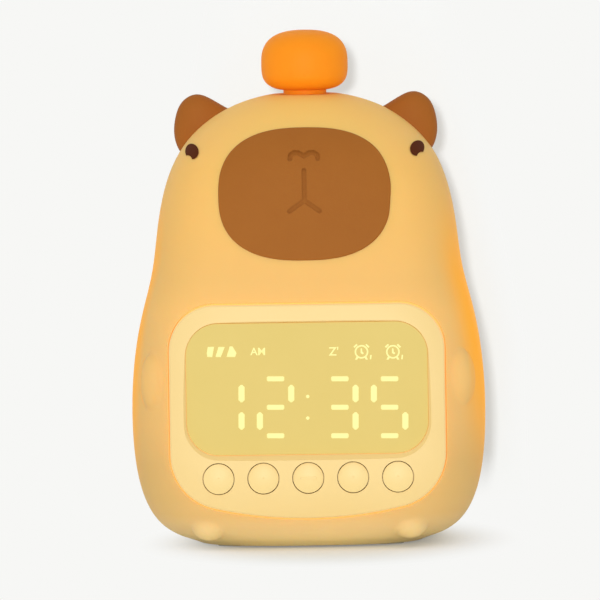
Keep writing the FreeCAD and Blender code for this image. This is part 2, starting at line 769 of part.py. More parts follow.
def with_limbs(body):
    """Arms and feet moulded on the skin, each blended into it by a fillet."""
    limbs = []
    for side in (-1, 1):
        for limb in ("arm", "foot"):
            width, depth, height, across, front, up = (
                float(size) for size in (
                    *(getattr(S, f"{limb}_{word}") for word in ("half_width", "half_depth", "half_height")),
                    *limb_places[limb], getattr(S, f"{limb}_up")))
            blend = float(getattr(S, f"{limb}_blend"))
            limbs.append((ellipsoid(width, depth, height, V(side * across, -front, up)), blend))
    for limb, blend in limbs:
        reach = limb.BoundBox
        reach.enlarge(SEAM_REACH)
        known = [edge.hashCode() for edge in body.Edges]
        body = body.fuse(limb)
        seam = [edge for edge in body.Edges
                if edge.hashCode() not in known and reach.isInside(edge.BoundBox)
                and edge.BoundBox.YMax < limb.BoundBox.YMax - SEAM_REACH and not edge.Degenerated
                and edge.Length > SEAM_SHORTEST and len(body.ancestorsOfType(edge, Part.Face)) == 2]
        body = body.makeFillet(blend, seam)
    return body


def build_skin():
    """The silicone skin: form, limbs, hollow, and the openings for all that passes through it."""
    skin = with_limbs(skin_form).cut(inner_form)
    gap = float(S.groove_gap)
    skin = skin.cut(prism(panel_outline(-gap), FAR, panel_back))
    skin = skin.cut(muzzle_prism)
    skin = skin.cut(eye_pocket).cut(mirrored(eye_pocket))
    neck_hole = float(S.orange_neck) / 2 + float(S.orange_hole_gap)
    skin = skin.cut(Part.makeCylinder(neck_hole, FAR, V(0, 0, float(stem_low))))
    pocket_radius = float(S.stem_flange) / 2 + float(S.orange_hole_gap)
    skin = skin.cut(Part.makeCylinder(pocket_radius, float(under_skin - stem_low), V(0, 0, float(stem_low))))
    plug = rounded_plate(float(S.cover_width) - 2 * float(S.cover_plug_inset),
                         float(S.cover_depth) - 2 * float(S.cover_plug_inset),
                         float(S.cover_radius) - float(S.cover_plug_inset), -1.0,
                         S.sole_up + S.skin_wall * 2)
    flange = rounded_plate(float(S.cover_width), float(S.cover_depth), float(S.cover_radius),
                           -1.0, S.sole_up + S.cover_flange)
    skin = skin.cut(plug).cut(flange)
    port = prism(rounded_outline(float(S.port_width), float(S.port_height), float(S.port_radius),
                                 float(S.port_up), float(S.fit_gap)), -float(core_back), -FAR)
    return skin.cut(port)


def rounded_plate(width, depth, radius, low, high):
    """A level rounded rectangle about the origin, from low to high."""
    low, high = float(low), float(high)
    plate = Part.makeBox(width, depth, high - low, V(-width / 2, -depth / 2, low))
    uprights = [edge for edge in plate.Edges if runs_along(V(0, 0, 1))(edge)]
    return plate.makeFillet(radius, uprights)


keep_shape("body_skin", build_skin())


# Front panel: a tray whose outer face follows the body's form.


def build_panel():
    rim = float(S.panel_rim)
    panel = proud_form.common(prism(panel_outline(0), FAR, panel_back))
    panel = panel.cut(prism(panel_outline(rim), panel_floor, 0))
    front = min(panel.Faces, key=lambda face: face.CenterOfMass.y - face.Area)
    panel = panel.makeFillet(float(S.panel_edge_radius), front.OuterWire.Edges)
    lens = (float(S.lens_width), float(S.lens_height), float(S.lens_radius), float(S.lens_up))
    panel = panel.cut(prism(rounded_outline(*lens, float(S.fit_gap)), FAR, 0))
    narrow = rounded_outline(*lens, float(S.fit_gap))
    narrow.translate(V(0, -float(lens_front), 0))
    flare = float(S.bevel_width) / float(S.bevel_depth) * float(S.bevel_reach)
    wide = rounded_outline(*lens, float(S.fit_gap) + flare)
    wide.translate(V(0, -float(lens_front) - float(S.bevel_reach), 0))
    panel = panel.cut(Part.makeLoft([narrow, wide], True, True))
    for _, across in button_places:
        hole = Part.makeCylinder(float(S.button_hole) / 2, FAR, V(float(across), -FAR, float(button_up)),
                                 V(0, 1, 0))
        panel = panel.cut(hole)
    depth = float(panel_floor - board_front)
    for side in (-1, 1):
        centre = V(side * float(board_boss_across), -float(panel_floor), float(board_boss_up))
        boss = Part.makeCylinder(float(S.board_boss) / 2, depth, centre, V(0, 1, 0))
        panel = panel.fuse(boss)
        pilot = Part.makeCylinder(float(S.small_screw) / 2 + float(S.pilot_gap), depth, centre, V(0, 1, 0))
        panel = panel.cut(pilot)
        hook_low = float(S.panel_top) - float(S.board_edge) - float(S.hook_reach)
        hook = Part.makeBox(float(S.board_hook_wide), float(board_back - panel_back),
                            float(S.panel_top) - rim / 2 - hook_low,
                            V(side * float(S.board_hook_across) - float(S.board_hook_wide) / 2,
                              -float(board_back), hook_low))
        panel = panel.fuse(hook)
    return panel.removeSplitter()


keep_shape("front_panel", build_panel())

lens = new_body("display_lens")


def rounded_sketch(body, role, out, width, height, radius, v=0):
    """A sketched rounded rectangle: four sides and four tangent corners, all tied to the sheet."""
    width, height, radius, v = (Size.of(size) for size in (width, height, radius, v))
    sketch = sketch_on(body, role, out)
    half, tall = width / 2, height / 2
    diagonal = radius.number * (1 - math.sqrt(0.5))
    arcs, lines = [], []
    for right, high in ((1, 1), (-1, 1), (-1, -1), (1, -1)):
        ends = [V(right * half.number, v.number + high * (tall.number - radius.number), 0),
                V(right * (half.number - radius.number), v.number + high * tall.number, 0)]
        if right * high < 0:
            ends.reverse()
        middle = V(right * (half.number - diagonal), v.number + high * (tall.number - diagonal), 0)
        arcs.append((Part.Arc(ends[0], middle, ends[1]), ends, right, high))
    items = [sketch.addGeometry(arc, False) for arc, *_ in arcs]
    for index, (_, ends, _, _) in enumerate(arcs):
        following = arcs[(index + 1) % 4][1]
        lines.append(sketch.addGeometry(Part.LineSegment(ends[1], following[0]), False))
    for index, item in enumerate(items):
        sketch.addConstraint(Sketcher.Constraint("Tangent", item, 2, lines[index], 1))
        sketch.addConstraint(Sketcher.Constraint("Tangent", lines[index], 2, items[(index + 1) % 4], 1))
        _, _, right, high = arcs[index]
        pin_point(sketch, item, 3, (half - radius) * right, v + (tall - radius) * high)
    for item in items:
        number = sketch.addConstraint(Sketcher.Constraint("Radius", item, radius.number))
        sketch.setExpression(f"Constraints[{number}]", radius.formula)
    return sketch


face_of_lens = rounded_sketch(lens, "XZ_Plane", lens_front, S.lens_width, S.lens_height,
                              S.lens_radius, S.lens_up)
pad(lens, face_of_lens, lens_front - panel_floor, reverse=True)
lip = S.lens_lip * 2
face_of_lip = rounded_sketch(lens, "XZ_Plane", panel_floor, S.lens_width + lip, S.lens_height + lip,
                             S.lens_radius + S.lens_lip, S.lens_up)
pad(lens, face_of_lip, S.lens_lip_thick, reverse=True)

# Display: a block with one light cell for each bar, dot and sign.

block = box("display_block", display_width, display_front - board_front, display_height,
            y=-display_front, z=S.lens_up - display_height / 2)


def bar(across, up, length, width, upright):
    """One six-sided bar, as a prism through the display's cells."""
    half, side = length / 2, width / 2
    corners = [(-half, 0), (side - half, side), (half - side, side),
               (half, 0), (half - side, -side), (side - half, -side)]
    if upright:
        corners = [(z, x) for x, z in corners]
    points = [V(across + x, 0, up + z) for x, z in corners]
    wire = Part.makePolygon(points + points[:1])
    return prism(wire, display_front, float(display_front) - float(S.cell_depth))


# Cells of the small signs: middle and width, as shares of the display's width.
SIGN_CELLS = ((-0.385, 0.145), (-0.220, 0.087), (0.112, 0.070), (0.238, 0.092), (0.375, 0.092))


def display_cells():
    """The display's hollow cells: four digits of seven bars, two dots, five signs."""
    cells = []
    row, half = float(S.digit_row), float(S.digit_half)
    length, width = float(S.bar_length), float(S.bar_width)
    whole = float(display_width)
    places = [side * float(share) * whole for share in (S.digit_outer, S.digit_inner) for side in (-1, 1)]
    for middle in places:
        for step in (-1, 0, 1):
            cells.append(bar(middle, float(digit_up) + step * row, length, width, False))
        for side in (-1, 1):
            for step in (-0.5, 0.5):
                cells.append(bar(middle + side * half, float(digit_up) + step * row, length, width, True))
    for side in (-1, 1):
        centre = V(0, -float(display_front), float(digit_up) + side * float(S.colon_step) * row)
        cells.append(Part.makeCylinder(width / 2, float(S.cell_depth), centre, V(0, 1, 0)))
    tall = float(S.sign_cell)
    sign_low = float(S.lens_up + S.sign_rise) - tall / 2
    for across, wide in SIGN_CELLS:
        cells.append(Part.makeBox(wide * whole, float(S.cell_depth), tall,
                                  V((across - wide / 2) * whole, -float(display_front), sign_low)))
    return Part.makeCompound(cells)


cell_group = doc.addObject("Part::Feature", "display_cells")
cell_group.Shape = display_cells()
keep("led_display", cut("led_display", block, cell_group))

# Main board: it fills the tray, hooked at its upper edge and screwed at its lower corners.

board_shape = prism(panel_outline(float(S.board_edge)), board_front, board_front - S.board_thick)
for side in (-1, 1):
    hole_start = V(side * float(board_boss_across), -FAR, float(board_boss_up))
    board_shape = board_shape.cut(
        Part.makeCylinder(float(S.small_screw) / 2 + float(S.screw_play), FAR, hole_start, V(0, 1, 0)))
keep_shape("main_board", board_shape)

# The board's parts: name, width, how far it stands off the board, height, then its place across
# and the height of its lower edge.
CHIPS = (
    ("processor", 9.0, 1.6, 9.0, 6.0, 40.0),
    ("display_driver", 7.5, 1.5, 5.0, -14.0, 38.0),
    ("sound_driver", 5.0, 1.4, 4.0, -12.0, 23.0),
    ("clock_crystal", 8.0, 2.4, 2.6, 5.0, 51.0),
    ("light_connector", 6.0, 4.0, 4.5, -16.0, 49.0),
    ("battery_connector", 6.0, 4.0, 4.5, 18.0, 49.0),
    ("speaker_connector", 5.0, 4.0, 4.5, -17.0, 23.0),
    ("inlet_connector", 6.0, 4.0, 4.5, 14.0, 23.0),
)
chips = [box(name, wide, deep, tall, across, -board_back, low)
         for name, wide, deep, tall, across, low in CHIPS]
keep("board_components", compound("board_components", chips))


# Length and width of a screw's slot, as shares of its head.
SLOT_LONG = 0.66
SLOT_WIDE = 0.16


def screw(node_name, head, head_tall, shank, length):
    """A pan-head screw pointing up, its head's face at z = 0 and its tip above."""
    body = doc.addObject("PartDesign::Body", node_name)
    revolve(body, [(0, 0), (head / 2, 0), (head / 2, head_tall), (shank / 2, head_tall),
                   (shank / 2, length - shank / 2), (0, length)])
    slot_sketch = sketch_on(body, "XY_Plane")
    rectangle(slot_sketch, head * SLOT_LONG, head * SLOT_WIDE)
    pocket(body, slot_sketch, head_tall / 2, reverse=True)
    return body


def copies(name, source, places, rotation=None):
    """Copies of one shape at the given places, as one group; the places are sheet sizes."""
    rotation = rotation or FreeCAD.Rotation()
    items = []
    for index, (x, y, z) in enumerate(places, 1):
        item = doc.addObject("Part::Feature", f"{name}_{index}")
        item.Shape = source.Shape
        item.Placement = FreeCAD.Placement(V(float(x), float(y), float(z)), rotation)
        items.append(item)
    return compound(name, items)


toward_front = FreeCAD.Rotation(V(1, 0, 0), 90)
board_screw = screw("board_screw", S.small_screw_head, S.small_screw_head_tall, S.small_screw,
                    S.small_screw_length)
board_screw_y = S.small_screw_head_tall - board_back
keep("board_screws", copies("board_screws", board_screw,
                            [(board_boss_across * side, board_screw_y, board_boss_up) for side in (-1, 1)],
                            toward_front))

# Five tactile switches on the board, each under its own button.

plunger_front = board_front + S.switch_tall + S.switch_reach
switches = []
for step, across in button_places:
    case = box(f"switch_case_{step + 3}", S.switch_side, S.switch_tall, S.switch_side, across,
               -(board_front + S.switch_tall), button_up - S.switch_side / 2)
    bore = cylinder(f"switch_bore_{step + 3}", S.switch_plunger + S.switch_play * 2,
                    S.switch_tail + S.button_travel + S.seat_gap, across,
                    -(board_front + S.switch_tall), button_up, along_y=True)
    switches.append(cut(f"switch_{step + 3}", case, bore))
keep("switch_housings", compound("switch_housings", switches))

for step, across in button_places:
    plunger = cylinder(f"switch_plunger_{step + 3}", S.switch_plunger, S.switch_reach + S.switch_tail,
                       across, -plunger_front, button_up, along_y=True)
    keep(f"switch_plunger_{step + 3}", plunger)

cap_width = S.button_hole - S.button_gap * 2


def cap_outline(sketch):
    """Half section of a button: domed face, skirt, flange behind the panel, and stem."""
    flange_front = panel_floor - S.seat_gap
    flange_back = flange_front - S.button_flange_thick
    rim_front = button_front - S.button_dome
    corners = [(0, plunger_front), (S.button_stem / 2, plunger_front), (S.button_stem / 2, flange_back),
               (button_flange / 2, flange_back), (button_flange / 2, flange_front),
               (cap_width / 2, flange_front), (cap_width / 2, rim_front), (0, button_front)]
    points = [V(float(Size.of(u)), float(Size.of(v)), 0) for u, v in corners]
    items = []
    radius = (cap_width * cap_width / 4 + S.button_dome * S.button_dome) / (S.button_dome * 2)
    centre_up = button_front - radius
    half_lean = math.asin(float(cap_width) / 2 / radius.number) / 2
    crest = V(radius.number * math.sin(half_lean), centre_up.number + radius.number * math.cos(half_lean), 0)
    for index, (a, b) in enumerate(zip(points, points[1:] + points[:1])):
        if index == 6:
            items.append(sketch.addGeometry(Part.Arc(b, crest, a), False))
        else:
            items.append(sketch.addGeometry(Part.LineSegment(a, b), False))
    dome = items[6]
    for item, following in zip(items[:5], items[1:6]):
        sketch.addConstraint(Sketcher.Constraint("Coincident", item, 2, following, 1))
    sketch.addConstraint(Sketcher.Constraint("Coincident", items[7], 2, items[0], 1))
    sketch.addConstraint(Sketcher.Constraint("Coincident", items[5], 2, dome, 1))
    sketch.addConstraint(Sketcher.Constraint("Coincident", dome, 2, items[7], 1))
    for item, (u, v) in zip(items[:6] + [items[7]], corners[:6] + [corners[7]]):
        pin_point(sketch, item, 1, u, v)
    pin_point(sketch, dome, 3, 0, centre_up)
    index = sketch.addConstraint(Sketcher.Constraint("DistanceX", -1, 1, items[5], 2, float(cap_width) / 2))
    sketch.setExpression(f"Constraints[{index}]", (cap_width / 2).formula)


for step, across in button_places:
    cap = new_body(f"button_cap_{step + 3}")
    half_section = sketch_on(cap, "XY_Plane")
    cap_outline(half_section)
    turned = cap.newObject("PartDesign::Revolution", f"{cap.Name}_turned")
    turned.Profile = half_section
    turned.ReferenceAxis = (half_section, ["V_Axis"])
    turned.Angle = 360
    cap.Placement = FreeCAD.Placement(V(0, 0, 0), FreeCAD.Rotation(V(0, 0, 1), 180))
    locate(cap, across, 0, button_up)
    doc.recompute()

# Core: a rigid box inside the skin that carries the boards, the battery and the lamp.

cover_top = S.cover_plug_top


def build_core():
    """Walls, top deck, front flange, screw bosses with their webs, and the battery's shelf."""
    width, wall, radius = float(S.core_width), float(S.core_wall), float(S.core_radius)
    front, back = float(panel_back), float(core_back)
    low, top = float(S.core_low), float(S.core_top)
    boss_low, boss_tall = float(cover_top), float(S.base_boss_tall)
    shell = Part.makeBox(width, front + back, top - low, V(-width / 2, -front, low))
    uprights = [edge for edge in shell.Edges if runs_along(V(0, 0, 1))(edge)]
    shell = shell.makeFillet(radius, uprights).common(room_form)
    hollow = Part.makeBox(width - 2 * wall, front + back - 2 * wall, top - low - wall,
                          V(-width / 2 + wall, -front + wall, low))
    uprights = [edge for edge in hollow.Edges if runs_along(V(0, 0, 1))(edge)]
    core = shell.cut(hollow.makeFillet(radius - wall, uprights))
    flange = prism(panel_outline(float(S.flange_inset)), panel_back, panel_back - S.flange_thick)
    window = prism(panel_outline(float(S.window_inset)), panel_back, panel_back - S.core_radius / 2)
    core = core.fuse(flange.common(room_form)).cut(window)
    reach = width / 2 - wall / 2 - float(S.base_screw_across)
    for across, along in CORNERS:
        centre = V(across * float(S.base_screw_across), along * float(S.base_screw_along), boss_low)
        web_from = min(centre.x, centre.x + across * reach)
        web = Part.makeBox(reach, wall, boss_low + boss_tall - low, V(web_from, centre.y - wall / 2, low))
        core = core.fuse(Part.makeCylinder(float(S.base_boss) / 2, boss_tall, centre)).fuse(web)
        core = core.cut(Part.makeCylinder(float(S.base_screw) / 2 + float(S.pilot_gap), boss_tall, centre))
    port = prism(rounded_outline(float(S.port_width), float(S.port_height), float(S.port_radius),
                                 float(S.port_up)), -float(plug_front) + wall / 2, -FAR)
    core = core.cut(port)
    wires = Part.makeCylinder(float(S.wire_hole) / 2, 3 * wall,
                              V(0, float(S.light_board_width) / 2 - float(S.wire_hole), top - 2 * wall))
    core = core.cut(wires)
    shelf_deep = float(S.battery_thick) + wall
    shelf = Part.makeBox(float(S.battery_width), shelf_deep, wall,
                         V(-float(S.battery_width) / 2, back - wall - shelf_deep, float(S.battery_up) - wall))
    return core.fuse(shelf).removeSplitter()


keep_shape("core_housing", build_core())

battery = new_body("battery")
battery_sketch = sketch_on(battery, "XZ_Plane", -(core_back - S.core_wall))
rectangle(battery_sketch, S.battery_width, S.battery_height, 0, S.battery_up + S.battery_height / 2)
pad(battery, battery_sketch, S.battery_thick)
round_edges(battery, S.battery_radius, runs_along(V(0, 0, 1)))

# Night light: ring of diodes on a round board, under a frosted cover, round the switch post.

post = new_body("lamp_post")
foot = S.core_top
inside = S.post_width - S.post_wall * 2
revolve(post, [(inside / 2, foot), (S.post_width / 2, foot), (S.post_width / 2, post_top),
               (0, post_top), (0, post_top - S.post_wall), (inside / 2, post_top - S.post_wall)])

light_board = new_body("light_board")
light_sketch = sketch_on(light_board, "XY_Plane", S.core_top)
circle(light_sketch, S.light_board_width)
circle(light_sketch, S.post_width + S.fit_gap * 2)
pad(light_board, light_sketch, S.light_board_thick)

diode = box("diode", S.led_side, S.led_side, S.led_tall)
diodes = []
for index in range(int(float(S.led_count))):
    item = doc.addObject("Part::Feature", f"diode_{index + 1}")
    doc.recompute()
    item.Shape = diode.Shape
    turn = FreeCAD.Rotation(V(0, 0, 1), 360.0 * index / float(S.led_count))
    place = turn.multVec(V(0, float(S.led_ring) - float(S.led_side) / 2, 0))
    place.z = float(S.core_top) + float(S.light_board_thick)
    item.Placement = FreeCAD.Placement(place, turn)
    diodes.append(item)
keep("light_diodes", compound("light_diodes", diodes))

lamp = new_body("lamp_cover")
outer, thin = S.lamp_width / 2, S.lamp_wall
crown = S.lamp_top_width / 2
inner_top = S.post_width / 2 + S.fit_gap
revolve(lamp, [(outer, foot), (outer, lamp_shoulder), (crown, lamp_top), (inner_top, lamp_top),
               (inner_top, lamp_top - thin), (crown - thin / 2, lamp_top - thin),
               (outer - thin, lamp_shoulder - thin / 2), (outer - thin, foot)])

case = box("snooze_case", S.snooze_side, S.snooze_side, S.snooze_tall, 0, -S.snooze_side / 2, post_top)
bore_low = stem_low - S.switch_reach - S.switch_tail - S.orange_travel - S.seat_gap
bore = cylinder("snooze_bore", S.switch_plunger + S.switch_play * 2, post_top + S.snooze_tall - bore_low,
                z=bore_low)
keep("snooze_switch", cut("snooze_switch", case, bore))
plunger_low = stem_low - S.switch_reach - S.switch_tail
keep("snooze_plunger", cylinder("snooze_plunger", S.switch_plunger, S.switch_reach + S.switch_tail,
                                z=plunger_low))

stem = new_body("button_stem")
revolve(stem, [(0, stem_low), (S.stem_width / 2, stem_low),
               (S.stem_width / 2, flange_top - S.stem_flange_thick),
               (S.stem_flange / 2, flange_top - S.stem_flange_thick), (S.stem_flange / 2, flange_top),
               (S.stem_width / 2, flange_top), (S.stem_width / 2, stem_top), (0, stem_top)])


def build_orange():
    """The ball, the short neck that reaches down to the stem's flange, and the bore round the stem."""
    ball = Part.Face(orange_outline()).revolve(V(0, 0, 0), V(0, 0, 1), 360)
    low = float(flange_top)
    neck = Part.makeCylinder(float(S.orange_neck) / 2, float(orange_middle) - low, V(0, 0, low))
    bore = Part.makeCylinder(float(S.stem_width) / 2, float(stem_top) - low, V(0, 0, low))
    return ball.fuse(neck).cut(bore).removeSplitter()


keep_shape("orange_cap", build_orange())

# Base: cover with speaker grille, four screws, four pads.

cover = new_body("base_cover")
plate = rounded_sketch(cover, "XY_Plane", S.sole_up, S.cover_width - S.fit_gap * 2,
                       S.cover_depth - S.fit_gap * 2, S.cover_radius - S.fit_gap)
pad(cover, plate, S.cover_flange)
plug_less = S.cover_plug_inset * 2 + S.fit_gap * 2
plug = rounded_sketch(cover, "XY_Plane", S.sole_up + S.cover_flange, S.cover_width - plug_less,
                      S.cover_depth - plug_less, S.cover_radius - S.cover_plug_inset - S.fit_gap)
pad(cover, plug, cover_top - S.sole_up - S.cover_flange)
for width, depth in ((S.base_screw + S.screw_play * 2, cover_top - S.sole_up),
                     (S.base_screw_head + S.screw_play * 2, S.base_screw_head_tall)):
    holes = sketch_on(cover, "XY_Plane", S.sole_up)
    for across, along in CORNERS:
        circle(holes, width, S.base_screw_across * across, S.base_screw_along * along)
    pocket(cover, holes, depth, reverse=True)
grille = sketch_on(cover, "XY_Plane", S.sole_up)
circle(grille, S.grille_hole)
for ring in range(1, int(float(S.grille_rings)) + 1):
    for index in range(6 * ring):
        angle = math.radians(360.0 * index / (6 * ring))
        circle(grille, S.grille_hole, S.grille_pitch * (ring * math.cos(angle)),
               S.grille_pitch * (ring * math.sin(angle)))
pocket(cover, grille, cover_top - S.sole_up, reverse=True)

base_screw = screw("base_screw_model", S.base_screw_head, S.base_screw_head_tall, S.base_screw,
                   S.base_screw_length)
keep("base_screws", copies("base_screws", base_screw,
                           [(S.base_screw_across * across, S.base_screw_along * along, S.sole_up)
                            for across, along in CORNERS]))

pads = [cylinder(f"foot_pad_{index}", S.pad_width, S.sole_up, S.pad_across * across, S.pad_along * along)
        for index, (across, along) in enumerate(CORNERS, 1)]
keep("foot_pads", compound("foot_pads", pads))

# Speaker, glued over the grille and facing down.

speaker_low = cover_top
frame = new_body("speaker_frame")
wide, hollow_wide = S.speaker_width / 2, S.speaker_width / 2 - S.speaker_rim
frame_top = speaker_low + S.speaker_tall
magnet_half = S.magnet_width / 2
sheet = S.speaker_plate
revolve(frame, [(hollow_wide, speaker_low), (wide, speaker_low), (wide, speaker_low + sheet),
                (magnet_half + S.speaker_neck, frame_top), (0, frame_top), (0, frame_top - sheet),
                (magnet_half, frame_top - sheet), (hollow_wide, speaker_low + S.cone_middle)])
cone = new_body("speaker_cone")
cone_low = speaker_low + S.cone_lift
half_cone, crease = S.cone_thick / 2, S.cone_crease / 2
revolve(cone, [(hollow_wide, cone_low), (hollow_wide, cone_low + half_cone),
               (crease, cone_low + S.cone_rise + half_cone), (0, cone_low + S.cone_middle + half_cone),
               (0, cone_low + S.cone_middle), (crease, cone_low + S.cone_rise)])
magnet = cylinder("speaker_magnet", S.magnet_width, S.magnet_tall, z=frame_top)
keep("speaker_magnet", magnet)

# Power inlet: socket on its own small board, in a plug that passes through the skin.

port = new_body("port_plug")
port_face = rounded_sketch(port, "XZ_Plane", -port_back, S.port_width, S.port_height, S.port_radius,
                           S.port_up)
pad(port, port_face, port_back - plug_front)
room = rounded_sketch(port, "XZ_Plane", -plug_front, S.port_width - S.port_wall * 2,
                      S.port_height - S.port_wall * 2, S.port_radius - S.port_wall, S.port_up)
pocket(port, room, port_back - plug_front - S.port_floor)
mouth = rounded_sketch(port, "XZ_Plane", -port_back, S.socket_width + S.fit_gap * 2,
                       S.socket_height + S.fit_gap * 2, S.socket_radius + S.fit_gap, S.port_up)
pocket(port, mouth, S.port_floor, reverse=True)

socket = new_body("usb_socket")
socket_mouth = port_back - S.socket_sunk
socket_face = rounded_sketch(socket, "XZ_Plane", -socket_mouth, S.socket_width, S.socket_height,
                             S.socket_radius, S.port_up)
pad(socket, socket_face, S.socket_depth)
inner = rounded_sketch(socket, "XZ_Plane", -socket_mouth, S.socket_width - S.socket_wall * 2,
                       S.socket_height - S.socket_wall * 2, S.socket_radius - S.socket_wall, S.port_up)
pocket(socket, inner, S.socket_depth - S.socket_floor, reverse=True)
tongue = sketch_on(socket, "XZ_Plane", -(socket_mouth - S.tongue_sunk))
rectangle(tongue, S.socket_width - S.tongue_side * 2, S.socket_tongue, 0, S.port_up)
pad(socket, tongue, S.socket_depth - S.tongue_sunk)

usb_board = box("usb_board", S.usb_board_width, S.usb_board_depth, S.usb_board_thick, 0,
                port_back - S.port_floor - S.fit_gap - S.usb_board_depth,
                S.port_up - S.socket_height / 2 - S.usb_board_thick)
keep("usb_board", usb_board)

doc.recompute()
broken = [item.Label for item in doc.Objects if {"Invalid", "Error"} & set(item.State)]
if broken:
    raise RuntimeError(f"failed features: {broken}")
for node, piece in parts.items():
    if piece.Shape.isNull() or not piece.Shape.isValid() or not piece.Shape.Solids:
        raise RuntimeError(f"{node} has no valid solid")
os.makedirs("parts", exist_ok=True)
for node, piece in parts.items():
    piece.Shape.exportStep(os.path.join("parts", f"{node}.step"))
print(len(parts), "nodes,", sum(len(piece.Shape.Solids) for piece in parts.values()), "solids")
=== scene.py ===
"""Looks of a child's alarm clock and night light: a soft animal body with a lit display in its belly.

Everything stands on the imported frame, in metres, +Z up, with the face towards -Y.
"""
import logging
import math
from dataclasses import dataclass, field
from enum import Enum

import bpy
from mathutils import Matrix, Vector


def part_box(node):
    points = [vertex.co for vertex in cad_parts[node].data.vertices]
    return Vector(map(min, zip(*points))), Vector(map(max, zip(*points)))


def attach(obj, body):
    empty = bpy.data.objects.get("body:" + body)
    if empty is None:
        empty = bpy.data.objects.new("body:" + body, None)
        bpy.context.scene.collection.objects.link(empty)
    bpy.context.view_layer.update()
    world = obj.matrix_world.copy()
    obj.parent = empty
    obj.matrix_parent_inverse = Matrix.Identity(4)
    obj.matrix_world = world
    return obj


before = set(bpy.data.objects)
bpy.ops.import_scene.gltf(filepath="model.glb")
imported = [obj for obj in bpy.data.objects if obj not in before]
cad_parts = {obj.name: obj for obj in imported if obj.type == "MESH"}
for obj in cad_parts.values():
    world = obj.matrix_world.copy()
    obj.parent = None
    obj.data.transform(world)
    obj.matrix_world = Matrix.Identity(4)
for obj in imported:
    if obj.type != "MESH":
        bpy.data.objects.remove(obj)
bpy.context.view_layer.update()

log = logging.getLogger("alarm_clock")

MM = 0.001
DARK = (0.0, 0.0, 0.0, 1.0)
CAPITAL_SHARE = 0.69  # height of a capital as a share of the text size
BUMP_DEPTH = 0.1 * MM
RED_GREEN_BLUE_REACH = (1.0, 0.6, 0.25)  # how far each colour travels inside silicone


# Small helpers


def linear(code: str) -> tuple[float, float, float, float]:
    """Turns an sRGB hex colour into linear RGBA.

    Args:
        code: six hex digits, with or without the leading mark.

    Returns:
        Red, green, blue and an alpha of one, for a shader socket.
    """
    digits = code.lstrip("#")
    parts = [int(digits[index:index + 2], 16) / 255 for index in (0, 2, 4)]
    red, green, blue = (part / 12.92 if part <= 0.04045 else ((part + 0.055) / 1.055) ** 2.4
                        for part in parts)
    return (red, green, blue, 1.0)


def add_node(material: bpy.types.Material | bpy.types.World, kind: str, inputs: dict | None = None,
             **settings: object) -> bpy.types.Node:
    """Adds a node with its settings, its values and its links.

    Args:
        material: the material or world whose tree takes the node.
        kind: the node's type name.
        inputs: for each input, by name or number, a value or another node's output.
        **settings: properties of the node itself.

    Returns:
        The new node.
    """
    node = material.node_tree.nodes.new(kind)
    for name, value in settings.items():
        setattr(node, name, value)
    for key, value in (inputs or {}).items():
        if isinstance(value, bpy.types.NodeSocket):
            material.node_tree.links.new(value, node.inputs[key])
        else:
            node.inputs[key].default_value = value
    return node


def fill_ramp(node: bpy.types.Node, stops: tuple[tuple[float, str], ...]) -> bpy.types.NodeSocket:
    """Gives a colour ramp its stops.

    Args:
        node: the ramp.
        stops: places from 0 to 1, each with a hex colour.

    Returns:
        The ramp's colour output.
    """
    elements = node.color_ramp.elements
    while len(elements) < len(stops):
        elements.new(0.5)
    for element, (place, code) in zip(elements, stops):
        element.position = place
        element.color = linear(code)
    return node.outputs["Color"]


def new_material(name: str) -> tuple[bpy.types.Material, bpy.types.Node, bpy.types.NodeOutputs]:
    """Makes a material with nodes.

    Args:
        name: the material's name.

    Returns:
        The material, its principled shader, and the outputs of its texture coordinates.
    """
    material = bpy.data.materials.new(name)
    material.use_nodes = True
    shader = material.node_tree.nodes["Principled BSDF"]
    return material, shader, add_node(material, "ShaderNodeTexCoord").outputs


def join_sockets(owner: bpy.types.Material | bpy.types.World, source: bpy.types.NodeSocket,
                 target: bpy.types.Node, socket: str) -> None:
    """Links an output to one of another node's inputs."""
    owner.node_tree.links.new(source, target.inputs[socket])


# Finishes


